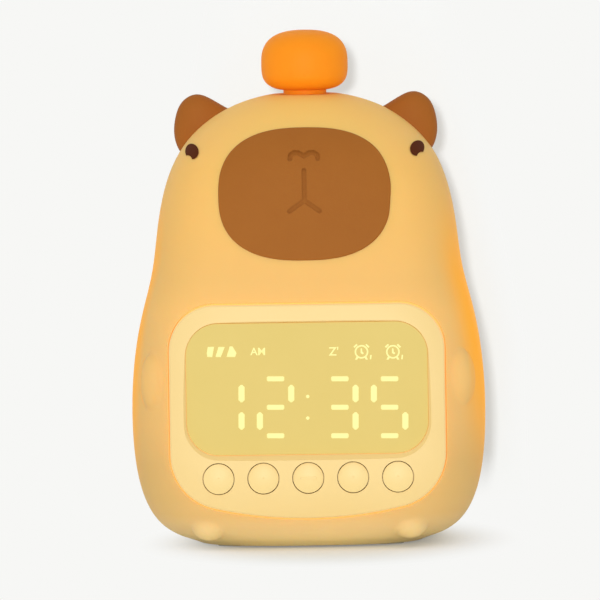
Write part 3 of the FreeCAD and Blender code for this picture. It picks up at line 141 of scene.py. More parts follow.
@dataclass(frozen=True)
class Moulded:
    """A moulded surface: fine grain from the tool, a slight drift of tone, and one main roughness.

    The grain is drawn coarser than the real tool's, so that it still shows at arm's length. Where
    gap_light is given, the walls of slots that run front to back get painted lamp light, standing in
    for the light they would carry on a lit hollow body, apart from a box round the row of buttons that
    stays dark.
    """

    name: str
    colour: str
    drift: str
    roughness: float
    grain_mm: float = 0.5
    grain_depth: float = 0.12
    specular: float = 0.5
    subsurface: float = 0.0
    metallic: float = 0.0
    ior: float = 1.5
    glow: str = ""
    glow_strength: float = 0.0
    # Colour and strength of the painted lamp light on slot walls.
    gap_light: str = ""
    gap_strength: float = 0.0
    drift_size: float = 14 * MM
    roughness_swing: float = 0.04
    reach: float = 3 * MM
    dark_middle: tuple[float, float, float] = (0.0, -38 * MM, 19.8 * MM)
    dark_half: tuple[float, float, float] = (30 * MM, 8 * MM, 6 * MM)

    def build(self) -> bpy.types.Material:
        """Makes the material and returns it."""
        material, shader, place = new_material(self.name)
        tone = add_node(material, "ShaderNodeTexNoise",
                        {"Vector": place["Object"], "Scale": 1 / self.drift_size, "Detail": 2.0,
                         "Roughness": 0.5})
        mix = add_node(material, "ShaderNodeMix",
                       {0: tone.outputs["Fac"], 6: linear(self.colour), 7: linear(self.drift)},
                       data_type="RGBA")
        join_sockets(material, mix.outputs[2], shader, "Base Color")
        grain = add_node(material, "ShaderNodeTexNoise",
                         {"Vector": place["Object"], "Scale": 1 / (self.grain_mm * MM), "Detail": 3.0})
        wear = add_node(material, "ShaderNodeMapRange",
                        {0: grain.outputs["Fac"], 3: self.roughness - self.roughness_swing,
                         4: self.roughness + self.roughness_swing})
        join_sockets(material, wear.outputs[0], shader, "Roughness")
        bump = add_node(material, "ShaderNodeBump",
                        {"Height": grain.outputs["Fac"], "Strength": self.grain_depth,
                         "Distance": BUMP_DEPTH})
        join_sockets(material, bump.outputs["Normal"], shader, "Normal")
        shader.inputs["Specular IOR Level"].default_value = self.specular
        shader.inputs["Metallic"].default_value = self.metallic
        shader.inputs["IOR"].default_value = self.ior
        if self.subsurface:
            shader.inputs["Subsurface Weight"].default_value = self.subsurface
            shader.inputs["Subsurface Radius"].default_value = RED_GREEN_BLUE_REACH
            shader.inputs["Subsurface Scale"].default_value = self.reach
        if self.glow:
            shader.inputs["Emission Color"].default_value = linear(self.glow)
            shader.inputs["Emission Strength"].default_value = self.glow_strength
        # Painted lamp light on the walls of slots, outside the dark box round the buttons.
        if self.gap_light:
            dark = inside_box(material, place["Object"], self.dark_middle, self.dark_half)
            walls = add_node(material, "ShaderNodeMath",
                             {0: slot_walls(material, place), 1: dark}, operation="SUBTRACT", use_clamp=True)
            light = add_node(material, "ShaderNodeMix",
                             {0: walls.outputs[0], 6: DARK, 7: linear(self.gap_light)}, data_type="RGBA")
            join_sockets(material, light.outputs[2], shader, "Emission Color")
            shader.inputs["Emission Strength"].default_value = self.gap_strength
        return material


def slot_walls(material: bpy.types.Material, place: bpy.types.NodeOutputs,
               face: float = 0.45, wall: float = 0.15) -> bpy.types.NodeSocket:
    """Finds the walls that run front to back.

    Args:
        material: the material whose tree takes the nodes.
        place: outputs of its texture coordinates.
        face: how far front or back a normal leans where a wall ends.
        wall: how far it leans where it is all wall.

    Returns:
        A factor of one on such walls and none on faces that look forwards or back.
    """
    facing = add_node(material, "ShaderNodeSeparateXYZ", {0: place["Normal"]})
    turned = add_node(material, "ShaderNodeMath", {0: facing.outputs["Y"]}, operation="ABSOLUTE")
    return add_node(material, "ShaderNodeMapRange", {0: turned.outputs[0], 1: face, 2: wall},
                    interpolation_type="SMOOTHSTEP").outputs[0]


def inside_box(material: bpy.types.Material, place: bpy.types.NodeSocket,
               middle: tuple[float, float, float], half: tuple[float, float, float]) -> bpy.types.NodeSocket:
    """Finds the places inside a box.

    Args:
        material: the material whose tree takes the nodes.
        place: the place's coordinates.
        middle: the box's middle.
        half: its half sizes.

    Returns:
        A factor of one inside.
    """
    away = add_node(material, "ShaderNodeVectorMath", {0: place, 1: middle}, operation="SUBTRACT")
    away = add_node(material, "ShaderNodeVectorMath", {0: away.outputs[0]}, operation="ABSOLUTE")
    away = add_node(material, "ShaderNodeVectorMath",
                    {0: away.outputs[0], 1: tuple(1 / size for size in half)}, operation="MULTIPLY")
    sides = add_node(material, "ShaderNodeSeparateXYZ", {0: away.outputs[0]})
    most = sides.outputs[0]
    for side in (sides.outputs[1], sides.outputs[2]):
        most = add_node(material, "ShaderNodeMath", {0: most, 1: side}, operation="MAXIMUM").outputs[0]
    return add_node(material, "ShaderNodeMath", {0: most, 1: 1.0}, operation="LESS_THAN").outputs[0]


@dataclass(frozen=True)
class GlowingSilicone:
    """Cream silicone over a lit lamp: matt skin, with painted warm glow in the flanks and painted lamp light
    on the inside.

    The grain is drawn coarser than the real skin's, so that it still shows at arm's length.
    """

    name: str = "silicone_cream_backlit"
    # Tone by height, as a share of the body's: darker low on the belly, and pale at the very foot, where the
    # pale tones are painted light against the shade under the body.
    tones_and_painted_foot_light: tuple[tuple[float, str], ...] = (
        (0.00, "#f8dd9c"), (0.02, "#f8dc9a"), (0.045, "#f1d090"), (0.08, "#eac27b"), (0.12, "#e4bc74"),
        (0.19, "#e2b870"), (0.28, "#ecbe73"), (0.46, "#eec074"), (0.53, "#f3c272"), (0.60, "#eebf6f"),
        (0.70, "#f1c06c"), (0.84, "#f4c26b"), (0.91, "#f9c66f"), (1.00, "#fbca6b"))
    height: float = 0.1209
    # Deeper orange base colour and warm emission that paint the lamp's glow on the flanks.
    painted_flank_glow_tone: str = "#d88c0e"
    glow: str = "#b47a10"
    # Painted lamp light on the walls of the recess round the panel and on the shell's inside.
    gap_light: str = "#a67c46"
    gap_margin: float = 0.6 * MM
    roughness: float = 0.62
    specular: float = 0.25
    ior: float = 1.41
    subsurface: float = 0.2
    reach: float = 4 * MM
    cloud_size: float = 18 * MM
    cloud_swing: tuple[float, float] = (0.97, 1.02)
    grain_size: float = 0.7 * MM
    grain_depth: float = 0.15
    # Sideways normal where a flank's painted glow starts and where it is full, and how strong it is there.
    right: tuple[float, float, float] = (0.62, 0.93, 1.0)
    left: tuple[float, float, float] = (-0.86, -0.98, 0.8)
    # Middle and half sizes, depth and height, of the oval of painted lamp glow on each flank.
    oval_middle: tuple[float, float, float] = (0.0, -10 * MM, 54 * MM)
    oval_half: tuple[float, float] = (34 * MM, 48 * MM)
    # Share of the oval that has its full painted glow, before it fades.
    oval_full: float = 0.35
    # How far a face of the shell looks back towards the upright axis to count as its inside.
    inward: float = -20 * MM

    def build(self) -> bpy.types.Material:
        """Makes the material and returns it."""
        material, shader, place = new_material(self.name)
        spot = add_node(material, "ShaderNodeSeparateXYZ", {0: place["Object"]})
        rise = add_node(material, "ShaderNodeMapRange", {0: spot.outputs["Z"], 1: 0.0, 2: self.height})
        # Tone ramp by height, with painted light at the foot.
        tone = fill_ramp(add_node(material, "ShaderNodeValToRGB", {0: rise.outputs[0]}), self.tones_and_painted_foot_light)
        cloud = add_node(material, "ShaderNodeTexNoise",
                         {"Vector": place["Object"], "Scale": 1 / self.cloud_size, "Detail": 2.0})
        least, most = self.cloud_swing
        shade = add_node(material, "ShaderNodeMapRange", {0: cloud.outputs["Fac"], 3: least, 4: most})
        colour = add_node(material, "ShaderNodeVectorMath", {0: tone, 1: shade.outputs[0]},
                          operation="MULTIPLY")
        # Painted lamp light in the gap round the panel and on the shell's inside.
        gap = self.gap(material, place)
        # Painted lamp glow on the flanks: a deeper orange base colour and a warm emission.
        flank = self.flank(material, place)
        base = add_node(material, "ShaderNodeMix",
                        {0: flank, 6: colour.outputs[0], 7: linear(self.painted_flank_glow_tone)}, data_type="RGBA")
        join_sockets(material, base.outputs[2], shader, "Base Color")
        light = add_node(material, "ShaderNodeMix",
                         {0: flank, 6: DARK, 7: linear(self.glow)}, data_type="RGBA")
        light = add_node(material, "ShaderNodeMix",
                         {0: gap, 6: light.outputs[2], 7: linear(self.gap_light)}, data_type="RGBA")
        join_sockets(material, light.outputs[2], shader, "Emission Color")
        shader.inputs["Emission Strength"].default_value = 1.0

        grain = add_node(material, "ShaderNodeTexNoise",
                         {"Vector": place["Object"], "Scale": 1 / self.grain_size, "Detail": 3.0})
        bump = add_node(material, "ShaderNodeBump",
                        {"Height": grain.outputs["Fac"], "Strength": self.grain_depth,
                         "Distance": BUMP_DEPTH})
        join_sockets(material, bump.outputs["Normal"], shader, "Normal")
        shader.inputs["Roughness"].default_value = self.roughness
        shader.inputs["Specular IOR Level"].default_value = self.specular
        shader.inputs["IOR"].default_value = self.ior
        shader.inputs["Subsurface Weight"].default_value = self.subsurface
        shader.inputs["Subsurface Radius"].default_value = RED_GREEN_BLUE_REACH
        shader.inputs["Subsurface Scale"].default_value = self.reach
        return material

    def gap(self, material: bpy.types.Material, place: bpy.types.NodeOutputs) -> bpy.types.NodeSocket:
        """Finds where the gap round the front panel gets painted lamp light: the recess's walls and the
        shell's inside.

        Args:
            material: the material whose tree takes the nodes.
            place: outputs of its texture coordinates.

        Returns:
            A factor of one there.
        """
        low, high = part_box("front_panel")
        half = ((high.x - low.x) / 2 + self.gap_margin, high.y - low.y + self.gap_margin,
                (high.z - low.z) / 2 + self.gap_margin)
        recess = inside_box(material, place["Object"], (0.0, low.y, (low.z + high.z) / 2), half)
        walls = add_node(material, "ShaderNodeMath", {0: slot_walls(material, place), 1: recess},
                         operation="MULTIPLY")
        return add_node(material, "ShaderNodeMath", {0: walls.outputs[0], 1: self.inside(material, place)},
                        operation="MAXIMUM").outputs[0]

    def inside(self, material: bpy.types.Material, place: bpy.types.NodeOutputs) -> bpy.types.NodeSocket:
        """Finds the inside of the shell, which gets painted lamp light.

        Args:
            material: the material whose tree takes the nodes.
            place: outputs of its texture coordinates.

        Returns:
            A factor of one on faces that look towards the upright axis.
        """
        out = add_node(material, "ShaderNodeVectorMath", {0: place["Object"], 1: (1.0, 1.0, 0.0)},
                       operation="MULTIPLY")
        facing = add_node(material, "ShaderNodeVectorMath", {0: out.outputs[0], 1: place["Normal"]},
                          operation="DOT_PRODUCT")
        return add_node(material, "ShaderNodeMath", {0: facing.outputs["Value"], 1: self.inward},
                        operation="LESS_THAN").outputs[0]

    def flank(self, material: bpy.types.Material, place: bpy.types.NodeOutputs) -> bpy.types.NodeSocket:
        """Finds the flanks beside the lamp, where the glow is painted: a soft oval on each side, weaker on
        the left.

        Args:
            material: the material whose tree takes the nodes.
            place: outputs of its texture coordinates.

        Returns:
            A factor of up to one on the flanks.
        """
        facing = add_node(material, "ShaderNodeSeparateXYZ", {0: place["Normal"]}).outputs["X"]
        sides = [add_node(material, "ShaderNodeMapRange", {0: facing, 1: nothing, 2: full, 4: most},
                          interpolation_type="SMOOTHSTEP").outputs[0]
                 for nothing, full, most in (self.right, self.left)]
        both = add_node(material, "ShaderNodeMath", {0: sides[0], 1: sides[1]}, operation="ADD")
        deep, tall = self.oval_half
        away = add_node(material, "ShaderNodeVectorMath", {0: place["Object"], 1: self.oval_middle},
                        operation="SUBTRACT")
        away = add_node(material, "ShaderNodeVectorMath", {0: away.outputs[0], 1: (0.0, 1 / deep, 1 / tall)},
                        operation="MULTIPLY")
        away = add_node(material, "ShaderNodeVectorMath", {0: away.outputs[0]}, operation="LENGTH")
        oval = add_node(material, "ShaderNodeMapRange", {0: away.outputs["Value"], 1: 1.0, 2: self.oval_full},
                        interpolation_type="SMOOTHSTEP")
        return add_node(material, "ShaderNodeMath", {0: both.outputs[0], 1: oval.outputs[0]},
                        operation="MULTIPLY").outputs[0]


class Finish(Enum):
    """The finishes of the clock's pieces."""

    # Cream silicone: soft and matt, with painted warm glow at the flanks, where it lies close to the lamp,
    # and painted lamp light in the gap round the panel.
    SKIN = GlowingSilicone()
    # Brown silicone from a blasted tool: dry and grainy, with hardly a highlight.
    MUZZLE = Moulded("silicone_brown", "#a76523", "#9f5e1f", 0.7, grain_mm=0.5, grain_depth=0.3,
                     subsurface=0.08, specular=0.25, ior=1.41)
    # The same silicone, a little smoother on the small ears.
    EAR = Moulded("silicone_brown_ear", "#a8621f", "#9f5b1b", 0.65, grain_mm=0.6, subsurface=0.08,
                  specular=0.25, ior=1.41)
    # Dark silicone: the eyes read as deep brown dots with no catch light.
    EYE = Moulded("silicone_dark_brown", "#5c2b12", "#522510", 0.7, grain_mm=0.4, specular=0.05, ior=1.41)
    # Orange silicone with a peel-like grain, which lets some light through, and a faint painted glow.
    ORANGE = Moulded("silicone_orange", "#fb9814", "#f48c12", 0.6, grain_mm=0.8, grain_depth=0.2,
                     subsurface=0.25, specular=0.25, ior=1.41, glow="#ff8a10", glow_strength=0.06)
    # Spark-eroded ABS: an even satin that keeps a soft sheen on the panel's rounded rim; the walls of its
    # slots and button holes get painted lamp light.
    PANEL = Moulded("abs_cream_fine_spark", "#f6d792", "#f3d38c", 0.5, grain_mm=0.35, grain_depth=0.1,
                    gap_light="#c0945a", gap_strength=0.85, specular=0.4)
    # Smoother ABS: the buttons are a shade glossier than the panel.
    BUTTON = Moulded("abs_cream_button", "#f7da93", "#f4d58d", 0.45, grain_mm=0.35, grain_depth=0.08,
                     specular=0.4)
    # Tinted acrylic with a satin face: flat, deep and slightly greenish gold, with a faint painted glow.
    LENS = Moulded("pmma_tinted_satin", "#dac068", "#d6bc62", 0.48, grain_mm=0.4, grain_depth=0.04,
                   specular=0.35, ior=1.49, glow="#ead27d", glow_strength=0.05)
    # Acrylic over lit diodes: pale yellow bars that are brighter than anything round them.
    LIGHT = Moulded("acrylic_light_window", "#6b5f30", "#6b5f30", 0.4, specular=0.3, glow="#fffaa5",
                    glow_strength=0.85)
    # White ABS reflector behind the window, matt so that it spreads the light.
    DISPLAY = Moulded("abs_white_reflector", "#f0eee6", "#e9e7de", 0.55)
    # White ABS housing with a plain moulded satin.
    CORE = Moulded("abs_white_housing", "#ecebe4", "#e4e2da", 0.5)
    # Frosted polycarbonate that glows warm over the diodes.
    LAMP = Moulded("polycarbonate_frosted", "#fbf6ea", "#f6efdf", 0.5, subsurface=0.5, glow="#ffb648",
                   glow_strength=0.6)
    # Cream ABS with a coarser grain than the panel, as undersides have.
    BASE = Moulded("abs_cream_base", "#eed8a6", "#e9d19c", 0.5, grain_mm=0.45, grain_depth=0.2)
    # The same ABS, smooth round the power inlet.
    PORT = Moulded("abs_cream_inlet", "#eed8a6", "#e9d19c", 0.5)
    # Black nylon: dull, with a faint grey bloom.
    SWITCH = Moulded("nylon_black_switch", "#1e1e20", "#262628", 0.45)
    # Natural acetal: waxy and off-white.
    PLUNGER = Moulded("acetal_natural", "#d9d7cd", "#d2cfc4", 0.4)
    # Glass-fibre board under green lacquer: a thin even gloss.
    BOARD = Moulded("fibreglass_board_green", "#1d5a34", "#174e2c", 0.35, grain_mm=0.25)
    # Moulded epoxy: the near-black of small parts.
    COMPONENT = Moulded("epoxy_component", "#1b1b1d", "#242426", 0.5)
    # Phosphor in silicone: yellow dots that shine warm white.
    DIODE = Moulded("silicone_phosphor", "#f4ea9e", "#efe08a", 0.4, glow="#ffcf6a", glow_strength=1.0)
    # Shrunk PVC film: blue with a slick gloss.
    BATTERY = Moulded("pvc_wrap_blue", "#3d68a8", "#36609e", 0.35)
    # Zinc-plated steel: bluish grey metal, finely scratched.
    SCREW = Moulded("steel_zinc_plated", "#c3c4c6", "#aeb0b3", 0.32, metallic=1.0, grain_mm=0.2)
    # Nickel plate: a warmer and darker metal than zinc.
    MAGNET = Moulded("nickel_plate", "#a9a9a6", "#9c9c99", 0.3, metallic=1.0)
    # Nickel-plated sheet steel, smooth from the rolling.
    SOCKET = Moulded("steel_nickel_plated", "#b4b4b2", "#a5a5a3", 0.25, metallic=1.0)
    # Phosphated steel: dark grey and only half metallic to the eye.
    FRAME = Moulded("steel_black_phosphate", "#4a4a4c", "#414143", 0.45, metallic=0.6)
    # Pressed paper pulp: black, fibrous and quite dull.
    CONE = Moulded("paper_cone_black", "#1c1c1e", "#262628", 0.8)
    # Grey rubber: dusty and matt.
    FOOT = Moulded("rubber_grey", "#b9b5a9", "#aeaa9e", 0.75, grain_depth=0.3)

    def material(self) -> bpy.types.Material:
        """Returns this finish's material, made the first time it is asked for."""
        return bpy.data.materials.get(self.value.name) or self.value.build()


def dress(node: str, finish: Finish) -> None:
    """Gives a CAD node a finish.

    Args:
        node: the node's name.
        finish: what the piece is made of.
    """
    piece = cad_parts[node]
    piece.data.materials.clear()
    piece.data.materials.append(finish.material())
    log.info("%s is %s", node, finish.value.name)


def place_piece(piece: bpy.types.Object, name: str, body: str, finish: Finish) -> bpy.types.Object:
    """Names a finished new piece, gives it its finish, and makes it ride on its body.

    Args:
        piece: the object, whose place is in its mesh.
        name: the piece's name.
        body: the CAD body that carries it.
        finish: what it is made of.

    Returns:
        The same object.
    """
    piece.name = name
    piece.data.name = name
    piece.data.materials.clear()
    piece.data.materials.append(finish.material())
    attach(piece, body)
    log.info("%s rides on %s", name, body)
    return piece


# Modelling by hand


def deselect() -> None:
    """Leaves nothing selected."""
    bpy.ops.object.select_all(action="DESELECT")


def settle(piece: bpy.types.Object) -> None:
    """Moves an object's place, turn and size into its mesh."""
    deselect()
    piece.select_set(True)
    bpy.context.view_layer.objects.active = piece
    bpy.ops.object.transform_apply(location=True, rotation=True, scale=True)


def join_pieces(pieces: list[bpy.types.Object]) -> bpy.types.Object:
    """Joins meshes into the first one.

    Args:
        pieces: the objects, each with its place in its mesh.

    Returns:
        The first object, which now holds all of them.
    """
    deselect()
    for piece in pieces:
        piece.select_set(True)
    bpy.context.view_layer.objects.active = pieces[0]
    bpy.ops.object.join()
    return pieces[0]


def light_tile(corners: list[tuple[float, float]], back: float, proud: float,
               taper: float = 0.86) -> bpy.types.Object:
    """A flat tile with a bevelled front, standing on an upright face.

    Args:
        corners: across and up in metres, in order round the outline.
        back: depth of the face it stands on.
        proud: how far it stands out of that face, towards -Y.
        taper: size of its front as a share of its back.

    Returns:
        The tile, its place in its mesh.
    """
    deselect()
    middle_x = sum(x for x, _ in corners) / len(corners)
    middle_z = sum(z for _, z in corners) / len(corners)
    bpy.ops.mesh.primitive_circle_add(vertices=len(corners), radius=MM, fill_type="NGON",
                                      location=(0.0, 0.0, 0.0), rotation=(0.0, 0.0, 0.0))
    tile = bpy.context.object
    for vertex, (x, z) in zip(tile.data.vertices, corners):
        vertex.co = (x, back, z)
    bpy.ops.object.mode_set(mode="EDIT")
    bpy.ops.mesh.select_all(action="SELECT")
    bpy.ops.mesh.extrude_region_move(TRANSFORM_OT_translate={"value": (0.0, -proud, 0.0)})
    bpy.ops.transform.resize(value=(taper, 1.0, taper), center_override=(middle_x, back - proud, middle_z))
    bpy.ops.mesh.select_all(action="SELECT")
    bpy.ops.mesh.normals_make_consistent(inside=False)
    bpy.ops.object.mode_set(mode="OBJECT")
    return tile


@dataclass
class Display:
    """The lit marks of the display: four digits, the colon and the row of small signs.

    The whole print is turned a little in its window, as the photograph shows it.
    """

    proud: float = 0.05 * MM
    turn: float = 0.8
    middle: float = 0.1 * MM
    digit_up: float = 38.65 * MM
    inner: float = 8.6 * MM
    pitch: float = 13.3 * MM
    row: float = 7.63 * MM
    upright_share: float = 0.481
    half: float = 4.2 * MM
    bar_half: float = 2.35 * MM
    level_side: float = 0.69 * MM
    level_tip: float = 0.3 * MM
    upright_side: float = 0.84 * MM
    upright_tip: float = 0.6 * MM
    shown: str = "1235"
    sign_up: float = 53.5 * MM
    letter_swell: float = 0.04 * MM
    dot_share: float = 0.38
    dot_radius: float = 0.48 * MM
    # Middle of each clock sign, and middle, height of a capital and text of each word.
    clocks: tuple[float, ...] = (14.5 * MM, 22.9 * MM)
    words: tuple[tuple[float, float, str], ...] = ((-13.15 * MM, 1.95 * MM, "AM"), (7.1 * MM, 2.2 * MM, "Z'"))
    ring_radii: tuple[float, float] = (1.85 * MM, 1.4 * MM)

    # Lit bars of each digit, by the usual letters of a seven-bar display.
    BARS = {"1": "bc", "2": "abged", "3": "abgcd", "5": "afgcd"}

    def __post_init__(self) -> None:
        """Takes the window's face from the frame."""
        self.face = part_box("display_lens")[0].y

    def bar(self, across: float, up: float, upright: bool) -> bpy.types.Object:
        """One bar of a digit: blunt where it lies, pointed where it stands.

        Args:
            across: its middle, to the viewer's right.
            up: its middle's height.
            upright: whether it stands.

        Returns:
            The bar.
        """
        side, tip = (self.upright_side, self.upright_tip) if upright else (self.level_side, self.level_tip)
        end = side - tip
        corners = [(-self.bar_half, -end), (-self.bar_half, end), (tip - self.bar_half, side),
                   (self.bar_half - tip, side), (self.bar_half, end), (self.bar_half, -end),
                   (self.bar_half - tip, -side), (tip - self.bar_half, -side)]
        if upright:
            corners = [(z, x) for x, z in corners]
        return light_tile([(across + x, up + z) for x, z in corners], self.face, self.proud)

    def digit(self, sign: str, across: float) -> list[bpy.types.Object]:
        """The lit bars of one digit.

        Args:
            sign: the digit.
            across: its middle.

        Returns:
            Its bars.
        """
        rise = self.upright_share
        spots = {
            "a": (0.0, 1.0, False), "g": (0.0, 0.0, False), "d": (0.0, -1.0, False),
            "b": (1.0, rise, True), "c": (1.0, -rise, True),
            "f": (-1.0, rise, True), "e": (-1.0, -rise, True),
        }
        return [self.bar(across + spots[name][0] * self.half, self.digit_up + spots[name][1] * self.row,
                         spots[name][2]) for name in self.BARS[sign]]

    def disc(self, across: float, up: float, radius: float, count: int = 20) -> bpy.types.Object:
        """A round light.

        Args:
            across: its middle.
            up: its height.
            radius: its size.
            count: how many sides.

        Returns:
            The disc.
        """
        corners = [(across + radius * math.cos(2 * math.pi * step / count),
                    up + radius * math.sin(2 * math.pi * step / count)) for step in range(count)]
        return light_tile(corners, self.face, self.proud)

    def ring(self, across: float, up: float, outer: float, inner: float) -> bpy.types.Object:
        """A round line of light, spun from its section.

        Args:
            across: its middle.
            up: its height.
            outer: outer radius.
            inner: inner radius.

        Returns:
            The ring.
        """
        deselect()
        bpy.ops.mesh.primitive_torus_add(major_radius=(outer + inner) / 2, minor_radius=(outer - inner) / 2,
                                         major_segments=36, minor_segments=8,
                                         location=(across, self.face, up), rotation=(math.pi / 2, 0.0, 0.0))
        ring = bpy.context.object
        settle(ring)
        bpy.ops.object.mode_set(mode="EDIT")
        bpy.ops.mesh.select_all(action="SELECT")
        bpy.ops.transform.resize(value=(1.0, 2 * self.proud / (outer - inner), 1.0),
                                 center_override=(across, self.face, up))
        bpy.ops.object.mode_set(mode="OBJECT")
        return ring

    def letters(self, text: str, across: float, tall: float) -> bpy.types.Object:
        """A word of the small signs as a thin raised mesh.

        Args:
            text: the word.
            across: its middle.
            tall: height of a capital.

        Returns:
            The word.
        """
        deselect()
        bpy.ops.object.text_add(location=(0.0, 0.0, 0.0))
        word = bpy.context.object
        word.data.body = text
        word.data.size = tall / CAPITAL_SHARE
        word.data.align_x = "CENTER"
        word.data.align_y = "CENTER"
        word.data.extrude = self.proud / 2
        word.data.offset = self.letter_swell
        word.data.resolution_u = 3
        bpy.ops.object.convert(target="MESH")
        word = bpy.context.object
        word.matrix_world = Matrix.Translation((across, self.face, self.sign_up)) @ Matrix.Rotation(
            math.pi / 2, 4, "X")
        settle(word)
        return word

    def shapes(self, outlines: tuple[tuple[tuple[float, float], ...], ...],
               across: float) -> list[bpy.types.Object]:
        """Small lit shapes of the row of signs.

        Args:
            outlines: corners of each shape in millimetres from the sign's middle.
            across: the sign's middle.

        Returns:
            The shapes.
        """
        return [light_tile([(across + x * MM, self.sign_up + z * MM) for x, z in outline],
                           self.face, self.proud) for outline in outlines]

    def clock_sign(self, across: float) -> list[bpy.types.Object]:
        """A small alarm-clock sign: ring, two bells, two feet, a hand, and a tick beside it."""
        bell = ((-2.2, 1.35), (-1.35, 2.15), (-1.0, 1.85), (-1.8, 1.05))
        foot = ((-1.3, -1.2), (-0.8, -1.5), (-1.15, -2.1), (-1.75, -2.1))
        hand = ((-0.25, -0.35), (-0.25, 0.95), (0.15, 0.95), (0.2, 0.1), (0.65, -0.4), (0.35, -0.7))
        tick = ((2.2, -2.0), (2.35, -0.8), (2.75, -0.8), (2.6, -2.0))
        mirrored = tuple(tuple((-x, z) for x, z in reversed(outline)) for outline in (bell, foot))
        return [self.ring(across, self.sign_up, *self.ring_radii),
                *self.shapes((bell, foot, *mirrored, hand, tick), across)]

    def leaf_signs(self) -> list[bpy.types.Object]:
        """Three slanted bars at the left end of the row."""
        return self.shapes((
            ((-26.9, -0.3), (-26.6, 1.35), (-24.9, 1.4), (-25.4, -1.4), (-26.75, -1.35)),
            ((-24.55, -1.35), (-23.75, 1.35), (-22.05, 1.35), (-23.1, -1.4)),
            ((-21.6, -1.35), (-20.75, 1.5), (-20.0, 1.5), (-18.9, -0.3), (-19.3, -1.4)),
        ), 0.0)

    def straighten(self, piece: bpy.types.Object) -> bpy.types.Object:
        """Turns a mark with the whole print about the display's middle."""
        middle = Vector((self.middle, self.face, self.digit_up))
        piece.data.transform(Matrix.Translation(middle) @ Matrix.Rotation(math.radians(self.turn), 4, "Y")
                             @ Matrix.Translation(-middle))
        return piece

    def build(self) -> None:
        """Builds the lit marks on the window's face."""
        digits: list[bpy.types.Object] = []
        places = (-self.inner - self.pitch, -self.inner, self.inner, self.inner + self.pitch)
        for sign, across in zip(self.shown, places):
            digits += self.digit(sign, self.middle + across)
        dots = [self.disc(self.middle, self.digit_up + side * self.dot_share * self.row, self.dot_radius)
                for side in (-1, 1)]
        signs = self.leaf_signs()
        signs += [self.letters(text, across, tall) for across, tall, text in self.words]
        for across in self.clocks:
            signs += self.clock_sign(across)
        for name, pieces in (("lit_digits", digits), ("lit_colon", dots), ("lit_signs", signs)):
            place_piece(self.straighten(join_pieces(pieces)), name, "root", Finish.LIGHT)

    def dress(self) -> None:
        """Gives the window and the display behind it their finishes."""
        dress("display_lens", Finish.LENS)
        dress("led_display", Finish.DISPLAY)


@dataclass
class Animal:
    """The silicone body: skin, muzzle, ears and eyes."""

    def dress(self) -> None:
        """Gives each soft piece its finish."""
        dress("body_skin", Finish.SKIN)
        dress("muzzle", Finish.MUZZLE)
        for side in ("left", "right"):
            dress(f"ear_{side}", Finish.EAR)
            dress(f"eye_{side}", Finish.EYE)


@dataclass
class SnoozeButton:
    """The orange on the head, with its stem and plunger."""

    def dress(self) -> None:
        """Gives the button's pieces their finishes."""
        dress("orange_cap", Finish.ORANGE)
        dress("button_stem", Finish.PLUNGER)
        dress("snooze_plunger", Finish.PLUNGER)
        dress("snooze_switch", Finish.SWITCH)


@dataclass
class FrontPanel:
    """The cream panel with its five buttons."""

    dash_half: float = 2.15 * MM
    dash_side: float = 0.3 * MM
    dash_up: float = 19.8 * MM
    dash_rise: float = 0.1 * MM
    dash_round: float = 0.15 * MM

    def build(self) -> None:
        """Builds the raised dash on the middle button."""
        deselect()
        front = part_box("button_cap_3")[0].y
        bpy.ops.mesh.primitive_cube_add(size=1.0, location=(0.0, front + self.dash_rise, self.dash_up))
        dash = bpy.context.object
        dash.scale = (2 * self.dash_half, 4 * self.dash_rise, 2 * self.dash_side)
        settle(dash)
        bevel = dash.modifiers.new("rounded", "BEVEL")
        bevel.width = self.dash_round
        bevel.segments = 3
        bpy.ops.object.modifier_apply(modifier=bevel.name)
        place_piece(dash, "button_dash", "button_3", Finish.BUTTON)

    def dress(self) -> None:
        """Gives the panel, its buttons and what lies behind them their finishes."""
        dress("front_panel", Finish.PANEL)
        for number in range(1, 6):
            dress(f"button_cap_{number}", Finish.BUTTON)
            dress(f"switch_plunger_{number}", Finish.PLUNGER)
        dress("switch_housings", Finish.SWITCH)
        dress("main_board", Finish.BOARD)
        dress("board_components", Finish.COMPONENT)
        dress("board_screws", Finish.SCREW)


@dataclass
class Inside:
    """The core, the night light, the battery and the speaker."""

    def dress(self) -> None:
        """Gives the inner pieces their finishes."""
        for node, finish in (
            ("core_housing", Finish.CORE), ("battery", Finish.BATTERY), ("lamp_post", Finish.CORE),
            ("light_board", Finish.BOARD), ("light_diodes", Finish.DIODE), ("lamp_cover", Finish.LAMP),
            ("speaker_frame", Finish.FRAME), ("speaker_cone", Finish.CONE), ("speaker_magnet", Finish.MAGNET),
        ):
            dress(node, finish)


@dataclass
class Base:
    """The underside and the power inlet."""

    def dress(self) -> None:
        """Gives the base's pieces their finishes."""
        for node, finish in (
            ("base_cover", Finish.BASE), ("base_screws", Finish.SCREW), ("foot_pads", Finish.FOOT),
            ("port_plug", Finish.PORT), ("usb_socket", Finish.SOCKET), ("usb_board", Finish.BOARD),
        ):
            dress(node, finish)


def lit_rays(owner: bpy.types.Material | bpy.types.World) -> bpy.types.NodeSocket:
    """Finds the rays that should see the pale background: from the camera, off gloss and through glass.

    Args:
        owner: the material or world whose tree takes the nodes.

    Returns:
        A factor of one for such rays.
    """
    rays = add_node(owner, "ShaderNodeLightPath").outputs
    seen = add_node(owner, "ShaderNodeMath", {0: rays["Is Camera Ray"], 1: rays["Is Glossy Ray"]},
                    operation="MAXIMUM")
    return add_node(owner, "ShaderNodeMath", {0: seen.outputs[0], 1: rays["Is Transmission Ray"]},
                    operation="MAXIMUM").outputs[0]


